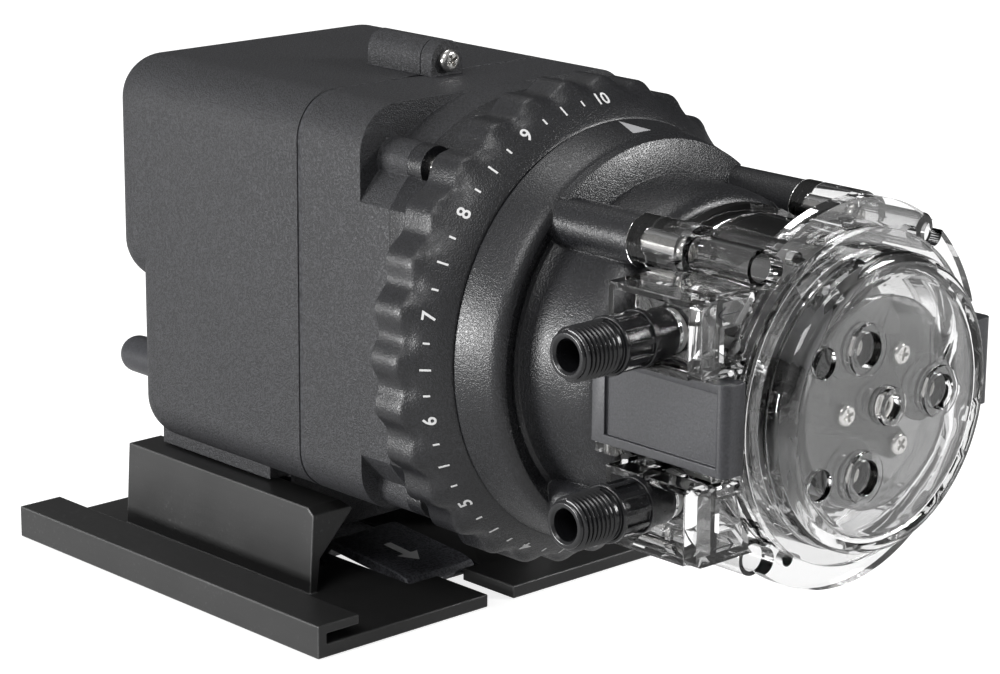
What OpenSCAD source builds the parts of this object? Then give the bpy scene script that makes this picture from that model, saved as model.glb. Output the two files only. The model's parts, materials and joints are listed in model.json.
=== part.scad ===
// Adjustable peristaltic metering pump on its sliding wall bracket, in millimetres.
// +Z is up, the pump's axis runs along Y with the clear head toward -Y.
// x = 0 is the pump's middle plane, and the origin is the middle of the bracket's underside.

/* [Bracket] */
// width over the two side channels
bracket_w = 142.6; // [130:0.1:160]
// length along the rails
bracket_l = 138; // [120:1:160]
// thickness of the flat base
base_t = 3.7; // [3:0.1:6]
// height of the side channels
lip_h = 9.3; // [7:0.1:14]
// how far a side channel reaches in
lip_in = 14.3; // [8:0.1:20]
// wall of a side channel
lip_wall = 3; // [2:0.1:5]
// top flange of a side channel
lip_t = 2.6; // [1.5:0.1:4]
// half width over the rails at their foot
rail_x = 46.8; // [40:0.1:55]
// height of the rails' top
rail_h = 28.2; // [22:0.1:36]
// length of the rails
rail_l = 85.4; // [60:0.1:110]
// front end of the rails
rail_front = -36; // [-60:0.5:-10]
// half width between the rails' tips
rail_tip = 31; // [25:0.1:36]
// running clearance of the dovetail foot
foot_clear = 0.35; // [0.2:0.05:0.8]
// left edge of the spring tongue
tongue_left = -19.5; // [-26:0.5:-10]
// right edge of the spring tongue
tongue_right = 6; // [0:0.5:14]
// radius of the four bracket screw holes
mount_hole_r = 2.6; // [2:0.1:4]
// hole spacing across the bracket
mount_dx = 60; // [40:1:66]
// hole spacing along the bracket
mount_dy = 30; // [20:1:60]

/* [Housing] */
// half width of the housing
case_x = 49.7; // [44:0.1:60]
// underside of the housing
case_z0 = 33.5; // [30:0.1:40]
// top of the housing
case_z1 = 145.7; // [120:0.1:170]
// radius of the housing's long corners
case_r = 12.8; // [6:0.1:20]
// wall of the moulded housings
case_wall = 2.6; // [2:0.1:4]
// rear face of the upper housing
rear_y = 51; // [40:0.5:70]
// rear face of the lower housing
rear_low_y = 42; // [30:0.5:60]
// height where the rear face steps
step_z = 79; // [60:0.5:100]
// joint between motor housing and gear case
seam_y = -35.6; // [-45:0.1:-25]
// thickness of the joint's seal
seal_t = 1.9; // [1:0.1:3]
// height of the pump's axis
axis_z = 85.8; // [80:0.1:95]
// radius of the round gear case
drum_r = 60.6; // [55:0.1:66]
// front of the square part of the gear case
pocket_y = -61.7; // [-66:0.1:-50]
// joint between gear case and gear cover
cover_y = -73.4; // [-78:0.1:-68]
// front face of the gear cover's plate
cover_front = -83.6; // [-88:0.1:-78]
// housing screw position across
ear_x = 38; // [34:0.1:42]
// housing screw height above the axis
ear_z = 45.2; // [42:0.1:48]
// radius of a screw ear
ear_r = 5.7; // [5:0.1:7]

/* [Motor and gears] */
// motor axis above the pump's axis
motor_dz = 10; // [8:0.5:14]
// half width of the square lamination stack
stator_half = 33; // [28:0.5:38]
// length of the lamination stack
stator_l = 26; // [15:0.5:35]
// rear face of the lamination stack
stator_rear = 12; // [0:0.5:20]
// radius of the rotor
rotor_r = 16; // [12:0.1:20]
// gap between rotor and stator
air_gap = 0.4; // [0.3:0.05:0.8]
// radius of the motor's shaft
motor_shaft_r = 3; // [2:0.1:4]
// tooth size of the first stage
module_1 = 0.8; // [0.6:0.1:1.2]
// tooth size of the second stage
module_2 = 1; // [0.8:0.1:1.5]
// teeth on each pinion
pinion_n = 10; // [8:1:14]
// teeth on the first gear
gear_1_n = 40; // [30:1:50]
// teeth on the second pinion
pinion_2_n = 12; // [10:1:16]
// teeth on the main gear
main_n = 48; // [36:1:60]
// radius of the main shaft
main_r = 4; // [3:0.1:6]
// radial play of a running bearing
run_fit = 0.05; // [0.02:0.01:0.1]

/* [Feed dial] */
// radius over the dial's grips
dial_r = 66.7; // [60:0.1:72]
// rear face of the dial
dial_rear = -85.5; // [-90:0.1:-80]
// front edge of the dial's rim
dial_rim = -95; // [-98:0.1:-90]
// front edge of the dial's cone
dial_front = -106; // [-110:0.1:-100]
// radius at the front of the cone
dial_small = 57; // [55.5:0.1:58.5]
// number of grip hollows
grip_n = 30; // [20:1:40]
// radius of a grip hollow
grip_r = 9; // [7:0.1:10]
// depth of a grip hollow
grip_depth = 2; // [1:0.1:2.4]
// radial play of the dial
dial_play = 0.3; // [0.1:0.05:0.6]
// front face of the index plate
index_front = -118.8; // [-122:0.1:-112]

/* [Black cover] */
// radius of the cover's drum
dome_r = 45; // [40:0.1:50]
// post position across
post_x = 29.8; // [26:0.1:34]
// post height from the axis
post_z = 36.5; // [32:0.1:40]
// radius of the black posts
post_r = 6.6; // [5:0.1:8]

/* [Clear head] */
// outer radius of the tube track
track_r = 38.4; // [36:0.1:42]
// wall of the tube track
track_wall = 2.2; // [1.5:0.1:3]
// rear radius of the clear housing
track_rear_r = 41.6; // [40:0.1:43]
// rear face of the clear housing
track_rear = -147.4; // [-152:0.1:-142]
// front face of the clear housing
track_front = -191; // [-191.4:0.1:-190]
// radius of the finger wings
wing_r = 49.7; // [48:0.1:52]
// rear face of the finger wings
wing_rear = -184.8; // [-187:0.1:-182]
// front face of the finger wings
wing_front = -189.4; // [-190.4:0.1:-187.5]
// radius of the clear front cover
cap_r = 38; // [37:0.1:38.4]
// radius of the front cover's flange
flange_r = 42.6; // [42:0.1:43]
// front face of the clear front cover
cap_front = -203.5; // [-206:0.1:-203]
// distance of the ports from the axis
port_z = 20.8; // [18:0.1:24]
// where the tube runs along the head
port_y = -170.6; // [-176:0.1:-165]
// outer face of the port boxes
port_x = 55; // [50:0.1:60]
// outer half width of the latches
latch_x = 50; // [49.5:0.1:51]
// top of a latch above the axis
latch_top = 12.4; // [12:0.1:12.6]
// underside of a latch below the axis
latch_low = 10.5; // [10:0.1:12]
// rear end of the latches
latch_rear = -149.3; // [-150:0.1:-148.5]

/* [Roller assembly and tube] */
// distance of the rollers from the axis
orbit_r = 18.7; // [15:0.1:22]
// radius of a roller
roller_r = 7.6; // [6:0.1:9]
// radius of the pump tube
tube_r = 4.3; // [3.5:0.1:5]
// bore of the pump tube
tube_bore = 2.6; // [1.5:0.1:3.5]
// radius of the tube's path round the track
tube_path_r = 31.4; // [28:0.1:34]
// radius of the bend where the tube leaves
tube_bend_r = 16; // [12:0.5:22]
// mouth of the fittings
fitting_mouth = -80; // [-90:0.5:-70]
// thread radius of the fittings
thread_r = 6.9; // [6:0.1:8]
// bore of the fittings
fitting_bore = 3.9; // [3:0.1:5]

/* [Hidden] */
$fn = 64;
gap = 0.3;
sides = [-1, 1];
corner_list = [[-1, -1], [-1, 1], [1, -1], [1, 1]];
motor_z = axis_z + motor_dz;
pinion_1_pr = module_1 * pinion_n / 2;
gear_1_pr = module_1 * gear_1_n / 2;
pinion_2_pr = module_2 * pinion_2_n / 2;
main_pr = module_2 * main_n / 2;
gear_1_z = motor_z + pinion_1_pr + gear_1_pr;
tongue_w = tongue_right - tongue_left;
tongue_mid = (tongue_left + tongue_right) / 2;
case_mid = (case_z0 + case_z1) / 2;
box_low = port_z - 7.5;
box_high = port_z + 12;
box_wall = 1.8;
neck_r = 6.3;
bend_dz = port_z + tube_bend_r;
bend_dx = sqrt(pow(tube_path_r + tube_bend_r, 2) - bend_dz * bend_dz);
bend_a = atan2(bend_dx, bend_dz);
plate_y0 = -41.4;
plate_y1 = -38;
plate_hole_z = [40.9, 137.6];
land_r = dial_small - 7;
index_r = dial_small - 2.3;
dome_front = track_rear + 2.4;
post_front = track_rear + 0.4;
sleeve_front = track_rear - 18.6;
land_front = index_front + 8.3;
bearing_rear = -101.3;
cap_face = cap_front + 1.3;
cap_inside = cap_face + 1.6;
screw_seat = track_rear - 14.1;
pin_ring_r = 29;
gland_x = -37;
gland_z = 53;
gland_r = 5.5;
gland_bore_r = 3;
gland_end_y = rear_low_y + 12.5;
latch_pin_x = latch_x - 3.7;
latch_pin_y = latch_rear - 3.7;
latch_front = track_front - 2.8;
latch_inner = flange_r + 0.6;
roller_at = [1, 121, 241];
carrier_screw_at = [61, 181, 301];
carrier_rear = track_rear - 10.6;
carrier_front = -198.4;
roller_y0 = carrier_rear - 2.6;
roller_y1 = carrier_front + 3.2;

// 2D (x, z) shapes stretched from y0 back to y1
module along_y(y0, y1) {
  translate([0, y1, 0]) rotate([90, 0, 0]) linear_extrude(y1 - y0) children();
}
// 2D (y, z) shapes stretched from x0 to x1
module along_x(x0, x1) {
  translate([x0, 0, 0]) rotate([90, 0, 90]) linear_extrude(x1 - x0) children();
}
// 2D (radius, y) shapes spun round an axis parallel to Y
module round_y(z0, x0 = 0) {
  translate([x0, 0, z0]) rotate([-90, 0, 0]) rotate_extrude() children();
}
// round bar along Y
module bar_y(r, y0, y1, x0, z0) {
  translate([x0, y0, z0]) rotate([-90, 0, 0]) cylinder(r = r, h = y1 - y0);
}
// round bar along X
module bar_x(r, x0, x1, y0, z0) {
  translate([x0, y0, z0]) rotate([0, 90, 0]) cylinder(r = r, h = x1 - x0);
}
module block(x0, x1, y0, y1, z0, z1) {
  translate([x0, y0, z0]) cube([x1 - x0, y1 - y0, z1 - z0]);
}
module round_rect(x0, x1, z0, z1, r) {
  translate([x0 + r, z0]) square([x1 - x0 - 2 * r, z1 - z0]);
  translate([x0, z0 + r]) square([x1 - x0, z1 - z0 - 2 * r]);
  for (x = [x0 + r, x1 - r])
    for (z = [z0 + r, z1 - r])
      translate([x, z]) circle(r = r);
}
// box along Y with round corners and a round rear end
module round_end_box(hx, z0, z1, y0, y1, r) {
  along_y(y0, y1 - r) round_rect(-hx, hx, z0, z1, r);
  block(-hx + r, hx - r, y1 - r - 1, y1, z0 + r, z1 - r);
  for (z = [z0 + r, z1 - r])
    bar_x(r, -hx + r, hx - r, y1 - r, z);
  for (x = [-hx + r, hx - r])
    translate([x, y1 - r, z0 + r]) cylinder(r = r, h = z1 - z0 - 2 * r);
  for (x = [-hx + r, hx - r])
    for (z = [z0 + r, z1 - r])
      translate([x, y1 - r, z]) sphere(r = r);
}
// pan head screw along Y, head toward -Y, its seat at y0
module pan_screw(x0, z0, y0, shank_r, len, head_r, head_h) {
  difference() {
    union() {
      bar_y(shank_r, y0 - 0.5, y0 + len, x0, z0);
      bar_y(head_r, y0 - head_h * 0.6, y0, x0, z0);
      round_y(z0, x0) polygon([
        [0, y0 - head_h], [head_r * 0.62, y0 - head_h], [head_r, y0 - head_h * 0.55], [0, y0 - head_h * 0.55]
      ]);
    }
    for (a = [0, 90])
      translate([x0, y0 - head_h, z0]) rotate([0, a + 20, 0])
        cube([head_r * 1.1, head_h * 1.1, head_r * 0.24], center = true);
  }
}
// spur gear round an axis parallel to Y
module spur(n, m, y0, y1, x0, z0, bore, turn = 0) {
  pr = m * n / 2;
  translate([x0, y1, z0]) rotate([90, 0, 0]) linear_extrude(y1 - y0) difference() {
    union() {
      circle(r = pr - 1.15 * m);
      for (i = [0:n - 1])
        rotate(turn + i * 360 / n) polygon([
          [pr - 1.4 * m, -0.62 * m], [pr - 0.2 * m, -0.62 * m], [pr + 0.75 * m, -0.3 * m],
          [pr + 0.75 * m, 0.3 * m], [pr - 0.2 * m, 0.62 * m], [pr - 1.4 * m, 0.62 * m]
        ]);
    }
    circle(r = bore);
  }
}

module mounting_bracket() {
  color([0.12, 0.12, 0.13]) difference() {
    union() {
      block(-bracket_w / 2, bracket_w / 2, -bracket_l / 2, bracket_l / 2, 0, base_t);
      for (s = [0, 1]) mirror([s, 0, 0]) {
        block(-bracket_w / 2, -bracket_w / 2 + lip_wall, -bracket_l / 2, bracket_l / 2, 0, lip_h);
        block(-bracket_w / 2, -bracket_w / 2 + lip_in, -bracket_l / 2, bracket_l / 2, lip_h - lip_t, lip_h);
        along_y(rail_front, rail_front + rail_l) polygon([
          [-rail_x, base_t - 0.5], [-rail_x + 1.5, rail_h], [-rail_tip - 2.6, rail_h], [-rail_tip, rail_h - 2.6],
          [-rail_x + 3.8, 13.4], [-rail_x + 2.6, base_t - 0.5]
        ]);
      }
    }
    // lead-in at the rails' front tops
    for (s = sides)
      translate([s * 39, rail_front, rail_h]) rotate([35, 0, 0]) cube([20, 5, 3], center = true);
    // window of the tongue and the finger notch
    block(tongue_left - 0.6, tongue_right + 0.6, -47.8, 24.5, -1, base_t + 1);
    block(-9.7, 0.2, -bracket_l / 2 - 1, -44, -1, base_t + 1);
    for (c = corner_list)
      translate([c[0] * mount_dx / 2, c[1] * mount_dy / 2, -1]) {
        cylinder(r = mount_hole_r, h = base_t + 2);
        translate([0, 0, 2.9]) cylinder(r = mount_hole_r + 2.4, h = 5);
      }
  }
}
module bracket_tongue() {
  color([0.13, 0.13, 0.14]) {
    along_x(tongue_left, tongue_right) polygon([
      [-47.2, 2.2], [-45.2, 4.2], [-41.4, 5.2], [-12, 7.5], [-9.6, 6.6], [-8.4, 3.4], [24.2, 3.4], [24.2, 0.9],
      [-9.6, 0.9], [-12.5, 4.6], [-40.6, 2.2], [-43.6, 1.3], [-46.4, 1]
    ]);
  }
}
module foot_section(inset) {
  polygon([
    [-rail_tip + foot_clear + 0.3 + inset, rail_h + 1 - inset], [-rail_tip + foot_clear + 0.3 + inset, rail_h - 3],
    [-rail_x + 4.35 + inset, 13.2], [-rail_x + 4.35 + inset, 9.2 + inset], [rail_x - 4.35 - inset, 9.2 + inset],
    [rail_x - 4.35 - inset, 13.2], [rail_tip - foot_clear - 0.3 - inset, rail_h - 3],
    [rail_tip - foot_clear - 0.3 - inset, rail_h + 1 - inset]
  ]);
}
module dovetail_foot() {
  color([0.1, 0.1, 0.11]) difference() {
    union() {
      along_y(-8, 42) foot_section(0);
      block(-38, 38, -8, 42, rail_h + 0.6, case_z0);
    }
    along_y(-4.6, 38.6) foot_section(3.2);
    for (x = [-18, 18])
      for (y = [2, 32]) {
        translate([x, y, 20]) cylinder(r = 1.75, h = 20);
        translate([x, y, 5]) cylinder(r = 3.4, h = 12);
      }
  }
}
module foot_screws() {
  color([0.72, 0.73, 0.75]) for (x = [-18, 18])
    for (y = [2, 32])
      translate([x, y, 0]) difference() {
        union() {
          translate([0, 0, 24]) cylinder(r = 1.75, h = 15);
          translate([0, 0, 22.6]) cylinder(r = 3.2, h = 2.2);
        }
        for (a = [0, 90])
          translate([0, 0, 22.6]) rotate([0, 0, a]) cube([3.6, 0.8, 2], center = true);
      }
}

module motor_housing() {
  color([0.075, 0.075, 0.08]) difference() {
    union() {
      difference() {
        union() {
          round_end_box(case_x, case_z0, case_z1, seam_y, rear_low_y, case_r);
          round_end_box(case_x, step_z, case_z1, seam_y, rear_y, case_r);
        }
        round_end_box(case_x - case_wall, case_z0 + case_wall, case_z1 - case_wall, seam_y - 1,
          rear_low_y - case_wall, case_r - case_wall);
        round_end_box(case_x - case_wall, step_z + case_wall, case_z1 - case_wall, seam_y - 1,
          rear_y - case_wall, case_r - case_wall);
      }
      // screw bosses inside the corners
      for (c = corner_list)
        bar_y(5, seam_y, seam_y + 22, c[0] * ear_x, axis_z + c[1] * ear_z);
      for (s = [0, 1]) mirror([s, 0, 0])
        block(ear_x, case_x - 1, seam_y, seam_y + 22, axis_z + ear_z - 1.2, axis_z + ear_z + 1.2);
      // pads for the foot's screws
      for (x = [-18, 18])
        for (y = [2, 32])
          translate([x, y, case_z0]) cylinder(r = 4.4, h = 7);
      // top boss
      bar_y(5.6, seam_y, seam_y + 22, 0, case_z1 + 4.1);
      block(-5.6, 5.6, seam_y, seam_y + 22, case_z1 - 1, case_z1 + 4.1);
    }
    for (c = corner_list)
      bar_y(1.75, seam_y - 1, seam_y + 18, c[0] * ear_x, axis_z + c[1] * ear_z);
    bar_y(1.75, seam_y - 1, seam_y + 14, 0, case_z1 + 4.1);
    for (x = [-18, 18])
      for (y = [2, 32])
        translate([x, y, case_z0 - 1]) cylinder(r = 1.75, h = 7);
    // cord entry
    bar_y(gland_r + 0.05, rear_low_y - 6, rear_low_y + 5, gland_x, gland_z);
  }
}
module housing_seal() {
  color([0.05, 0.05, 0.055]) difference() {
    union() {
      along_y(seam_y - seal_t, seam_y) difference() {
        round_rect(-case_x + 0.35, case_x - 0.35, case_z0 + 0.35, case_z1 - 0.35, case_r - 0.35);
        round_rect(-case_x + case_wall, case_x - case_wall, case_z0 + case_wall, case_z1 - case_wall,
          case_r - case_wall);
      }
      for (c = corner_list)
        bar_y(5, seam_y - seal_t, seam_y, c[0] * ear_x, axis_z + c[1] * ear_z);
      for (s = [0, 1]) mirror([s, 0, 0])
        block(ear_x, case_x - 1, seam_y - seal_t, seam_y, axis_z + ear_z - 1.2, axis_z + ear_z + 1.2);
    }
    for (c = corner_list)
      bar_y(1.9, seam_y - seal_t - 1, seam_y + 1, c[0] * ear_x, axis_z + c[1] * ear_z);
  }
}
// the round gear case flattened by the housing's flanks
module drum_2d(inset) {
  intersection() {
    translate([0, axis_z]) circle(r = drum_r - inset);
    round_rect(-case_x + inset, case_x - inset, case_z0 + inset, case_z1 + 4 - inset, case_r - inset);
  }
}
module gear_case() {
  color([0.075, 0.075, 0.08]) difference() {
    union() {
      difference() {
        union() {
          along_y(pocket_y, seam_y - seal_t) round_rect(-case_x, case_x, case_z0, case_z1, case_r);
          along_y(cover_y, pocket_y + 1) drum_2d(0);
        }
        along_y(pocket_y + case_wall, seam_y) round_rect(-case_x + case_wall, case_x - case_wall,
          case_z0 + case_wall, case_z1 - case_wall, case_r - case_wall);
        along_y(cover_y - 1, seam_y) drum_2d(case_wall);
      }
      for (c = corner_list)
        bar_y(ear_r, cover_y, seam_y - seal_t, c[0] * ear_x, axis_z + c[1] * ear_z);
      // top lug
      bar_y(5.6, seam_y - 5, seam_y - gap, 0, case_z1 + 4.1);
      block(-5.6, 5.6, seam_y - 5, seam_y - gap, case_z1 - 1, case_z1 + 4.1);
      // pads for the gear plate
      for (x = [-24, 24]) {
        for (z = plate_hole_z)
          bar_y(4, plate_y0 - 8, plate_y0, x, z);
        block(x - 4, x + 4, plate_y0 - 8, plate_y0, case_z0 + 2, plate_hole_z[0]);
        block(x - 4, x + 4, plate_y0 - 8, plate_y0, plate_hole_z[1], case_z1 - 2);
      }
    }
    for (c = corner_list) {
      bar_y(1.9, cover_y - 1, seam_y, c[0] * ear_x, axis_z + c[1] * ear_z);
    }
    for (x = [-24, 24])
      for (z = plate_hole_z)
        bar_y(1.25, plate_y0 - 6, plate_y0 + 1, x, z);
    bar_y(1.9, seam_y - 9, seam_y + 1, 0, case_z1 + 4.1);
    block(-6, 6, seam_y - seal_t, seam_y, case_z1 - 3, case_z1);
  }
}
module gear_cover() {
  color([0.08, 0.08, 0.085]) difference() {
    union() {
      difference() {
        union() {
          along_y(cover_front, cover_y) drum_2d(0);
          along_y(cover_y - 1, cover_y + 3) drum_2d(case_wall + gap);
        }
        // hollow rear, with a pillar at the shaft and one at the gear axle
        along_y(cover_y - 6, cover_y + 4) difference() {
          drum_2d(case_wall + 3.5);
          translate([0, axis_z]) circle(r = 12);
          translate([0, gear_1_z]) circle(r = 5);
        }
      }
      for (c = corner_list)
        bar_y(ear_r, cover_y - 5.4, cover_y, c[0] * ear_x, axis_z + c[1] * ear_z);
      // land that carries the dial, and the bearing hub inside it
      round_y(axis_z) polygon([
        [land_r - 6.7, land_front], [land_r - dial_play, land_front],
        [land_r - dial_play, cover_front + 1], [land_r - 6.7, cover_front + 1]
      ]);
      bar_y(20, land_front, cover_front + 1, 0, axis_z);
    }
    bar_y(11.02, -112, bearing_rear, 0, axis_z);
    bar_y(main_r + 1.5, -130, -60, 0, axis_z);
    bar_y(2, cover_y - 5, cover_y + 5, 0, gear_1_z);
    // windows for the lifter's tabs
    for (a = [0:90:270])
      translate([0, 0, axis_z]) rotate([0, a, 0]) block(land_r - 8, land_r + 2, land_front - 1, -99.6, -5.3, 5.3);
    for (c = corner_list) {
      bar_y(1.9, cover_y - 9, cover_y + 6, c[0] * ear_x, axis_z + c[1] * ear_z);
      bar_y(ear_r + gap, cover_y, cover_y + 4, c[0] * ear_x, axis_z + c[1] * ear_z);
      bar_y(ear_r + 0.01, cover_front - 1, cover_y - 5.4, c[0] * ear_x, axis_z + c[1] * ear_z);
      bar_y(1.75, -112, -95, c[0] * post_x, axis_z + c[1] * post_z);
    }
  }
}
module case_screws() {
  color([0.74, 0.75, 0.77]) {
    for (c = corner_list)
      pan_screw(c[0] * ear_x, axis_z + c[1] * ear_z, cover_y - 5.4, 1.75, 50, 3.2, 2.4);
    pan_screw(0, case_z1 + 4.1, seam_y - 5, 1.75, 16, 3.2, 2.4);
  }
}
// domed end of the gland, from its full radius to the edge of the cord hole
module gland_dome() {
  edge = acos(gland_bore_r / gland_r);
  arc = [for (step = [0:6]) [gland_r * cos(edge * step / 6), gland_r * sin(edge * step / 6)]];
  rotate_extrude() polygon(concat([[gland_bore_r - 0.4, -0.5], [gland_r, -0.5]], arc,
    [[gland_bore_r - 0.4, gland_r * sin(edge)]]));
}

module cord_gland() {
  color([0.04, 0.04, 0.045]) difference() {
    union() {
      bar_y(gland_r, rear_low_y - 7.4, gland_end_y, gland_x, gland_z);
      bar_y(gland_r + 0.9, rear_low_y - 7.4, rear_low_y - 5.3, gland_x, gland_z);
      translate([gland_x, gland_end_y, gland_z]) rotate([-90, 0, 0]) gland_dome();
    }
    bar_y(gland_bore_r, rear_low_y + 2, rear_low_y + 20, gland_x, gland_z);
  }
}

module stator_core() {
  color([0.42, 0.43, 0.45]) difference() {
    block(-stator_half, stator_half, stator_rear - stator_l, stator_rear, motor_z - 34, motor_z + 25);
    bar_y(rotor_r + air_gap, -40, 40, 0, motor_z);
    // coil window below the bore
    block(-22, 22, -40, 40, motor_z - 28, motor_z - 20.5);
    for (x = [-29, 29])
      bar_y(2.2, -40, 40, x, motor_z + 21);
    for (x = [-29, 29])
      bar_y(2.2, -40, 40, x, motor_z - 15);
  }
}
module stator_coil() {
  color([0.62, 0.32, 0.12]) difference() {
    block(-19, 19, stator_rear - stator_l - 7.5, stator_rear + 7.5, motor_z - 41.5, motor_z - 21);
    block(-22, 22, stator_rear - stator_l - 0.1, stator_rear + 0.1, motor_z - 34.4, motor_z - 27.6);
  }
}
module rotor() {
  color([0.6, 0.61, 0.63]) difference() {
    union() {
      bar_y(rotor_r, stator_rear - stator_l, stator_rear, 0, motor_z);
      bar_y(rotor_r - 2, stator_rear - stator_l - 3, stator_rear + 3, 0, motor_z);
    }
    bar_y(motor_shaft_r, -60, 60, 0, motor_z);
    for (y = [stator_rear - stator_l - 4, stator_rear + 1.5])
      difference() {
        bar_y(rotor_r - 5, y, y + 2.5, 0, motor_z);
        bar_y(motor_shaft_r + 3, y - 1, y + 4, 0, motor_z);
      }
  }
}
module motor_shaft() {
  color([0.7, 0.71, 0.73]) {
    bar_y(motor_shaft_r, -43.5, 42, 0, motor_z);
    spur(pinion_n, module_1, -52, -43.4, 0, motor_z, 0.01, 0);
  }
}
// stamped end frames that hold the motor's bushes, bolted through the stack
module end_frame(y0, out) {
  difference() {
    union() {
      block(-7, 7, min(y0 + out * 13, y0 + out * 15), max(y0 + out * 13, y0 + out * 15), motor_z - 9, motor_z + 25);
      block(-33, 33, min(y0 + out * 13, y0 + out * 15), max(y0 + out * 13, y0 + out * 15), motor_z + 16,
        motor_z + 25);
      for (x = [-33, 27])
        block(x, x + 6, min(y0, y0 + out * 15), max(y0, y0 + out * 15), motor_z + 16, motor_z + 25);
      bar_y(9, min(y0 + out * 13, y0 + out * 15), max(y0 + out * 13, y0 + out * 15), 0, motor_z);
    }
    bar_y(5.5, y0 - 20, y0 + 20, 0, motor_z);
    for (x = [-29, 29])
      bar_y(1.9, y0 - 20, y0 + 20, x, motor_z + 21);
  }
}
module motor_end_frame() {
  color([0.66, 0.67, 0.69]) {
    end_frame(stator_rear, 1);
    end_frame(stator_rear - stator_l, -1);
  }
}
module motor_bushes() {
  color([0.7, 0.53, 0.27]) for (y = [stator_rear + 11, stator_rear - stator_l - 17])
    difference() {
      bar_y(5.5, y, y + 6, 0, motor_z);
      bar_y(motor_shaft_r + run_fit, y - 1, y + 7, 0, motor_z);
    }
}
module cooling_fan() {
  color([0.16, 0.17, 0.18]) difference() {
    union() {
      bar_y(6, 31, 39, 0, motor_z);
      bar_y(20, 31, 32.4, 0, motor_z);
      for (a = [0:45:315])
        translate([0, 32, motor_z]) rotate([0, a, 0]) translate([5, 0, -0.6]) cube([15, 6.5, 1.2]);
    }
    bar_y(motor_shaft_r, 20, 50, 0, motor_z);
  }
}

module gear_plate() {
  color([0.63, 0.64, 0.66]) difference() {
    union() {
      along_y(plate_y0, plate_y1) union() {
        translate([-28.5, plate_hole_z[0] - 4]) square([57, plate_hole_z[1] - plate_hole_z[0] + 8]);
        translate([-32, axis_z - 20]) square([64, 59]);
      }
      for (x = [-29, 29])
        bar_y(3.9, plate_y1, stator_rear - stator_l - 15, x, motor_z + 21);
      for (x = [-29, 29])
        bar_y(3.9, plate_y1, stator_rear - stator_l, x, motor_z - 15);
    }
    bar_y(motor_shaft_r + 0.5, -60, -38.5 + 2, 0, motor_z);
    bar_y(main_r + 1.5, -60, 0, 0, axis_z);
    bar_y(2, -60, -36, 0, gear_1_z);
    for (x = [-29, 29])
      for (z = [motor_z + 21, motor_z - 15])
        bar_y(1.9, -60, 10, x, z);
    for (x = [-24, 24])
      for (z = plate_hole_z)
        bar_y(1.6, -60, -36, x, z);
  }
}
module plate_screws() {
  color([0.74, 0.75, 0.77]) {
    for (x = [-24, 24])
      for (z = plate_hole_z)
        mirror([0, 1, 0]) pan_screw(x, z, -plate_y1, 1.25, 9, 2.6, 1.7);
    for (x = [-29, 29])
      for (z = [motor_z + 21, motor_z - 15])
        pan_screw(x, z, plate_y0, 1.85, z > motor_z ? 70 : 54, 3.2, 2.2);
  }
}
module first_gear() {
  color([0.72, 0.6, 0.36]) difference() {
    union() {
      spur(gear_1_n, module_1, -51, -45, 0, gear_1_z, 2.1, 0);
      spur(pinion_2_n, module_2, -66, -51, 0, gear_1_z, 2.1, 15);
      bar_y(4.2, -45, -43.4, 0, gear_1_z);
    }
    bar_y(2 + run_fit, -70, -40, 0, gear_1_z);
  }
}
module gear_axle() {
  color([0.7, 0.71, 0.73]) {
    bar_y(2, cover_y - 5, plate_y1 - 0.6, 0, gear_1_z);
    difference() {
      bar_y(3.6, -43.1, -41.5, 0, gear_1_z);
      bar_y(1.9, -44, -41, 0, gear_1_z);
    }
  }
}
module main_gear() {
  color([0.62, 0.63, 0.64]) difference() {
    union() {
      spur(main_n, module_2, -64, -56, 0, axis_z, main_r, 0);
      bar_y(9, -67, -54, 0, axis_z);
    }
    bar_y(main_r, -80, -40, 0, axis_z);
    for (a = [30:60:330])
      bar_y(4, -80, -40, 15.5 * cos(a), axis_z + 15.5 * sin(a));
  }
}
module main_shaft() {
  color([0.72, 0.73, 0.75]) difference() {
    bar_y(main_r, carrier_front - 1.6, plate_y1 - 0.4, 0, axis_z);
    // drive flat
    block(-6, 6, -203, -160, axis_z + 3, axis_z + 6);
  }
}
module main_bearing() {
  color([0.68, 0.69, 0.71]) difference() {
    union() {
      round_y(axis_z) polygon([
        [8.6, -108], [11, -108], [11, -101.4], [8.6, -101.4]
      ]);
      round_y(axis_z) polygon([
        [main_r + run_fit, -108], [6.2, -108], [6.2, -101.4], [main_r + run_fit, -101.4]
      ]);
      round_y(axis_z) polygon([
        [6.1, -106.6], [8.7, -106.6], [8.7, -102.8], [6.1, -102.8]
      ]);
    }
  }
}
module shaft_bush() {
  color([0.7, 0.53, 0.27]) difference() {
    union() {
      bar_y(main_r + 1.5, plate_y0, plate_y1, 0, axis_z);
      bar_y(main_r + 2.6, plate_y0 - 1.6, plate_y0, 0, axis_z);
    }
    bar_y(main_r + run_fit, plate_y0 - 3, plate_y1 + 2, 0, axis_z);
  }
}

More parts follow.
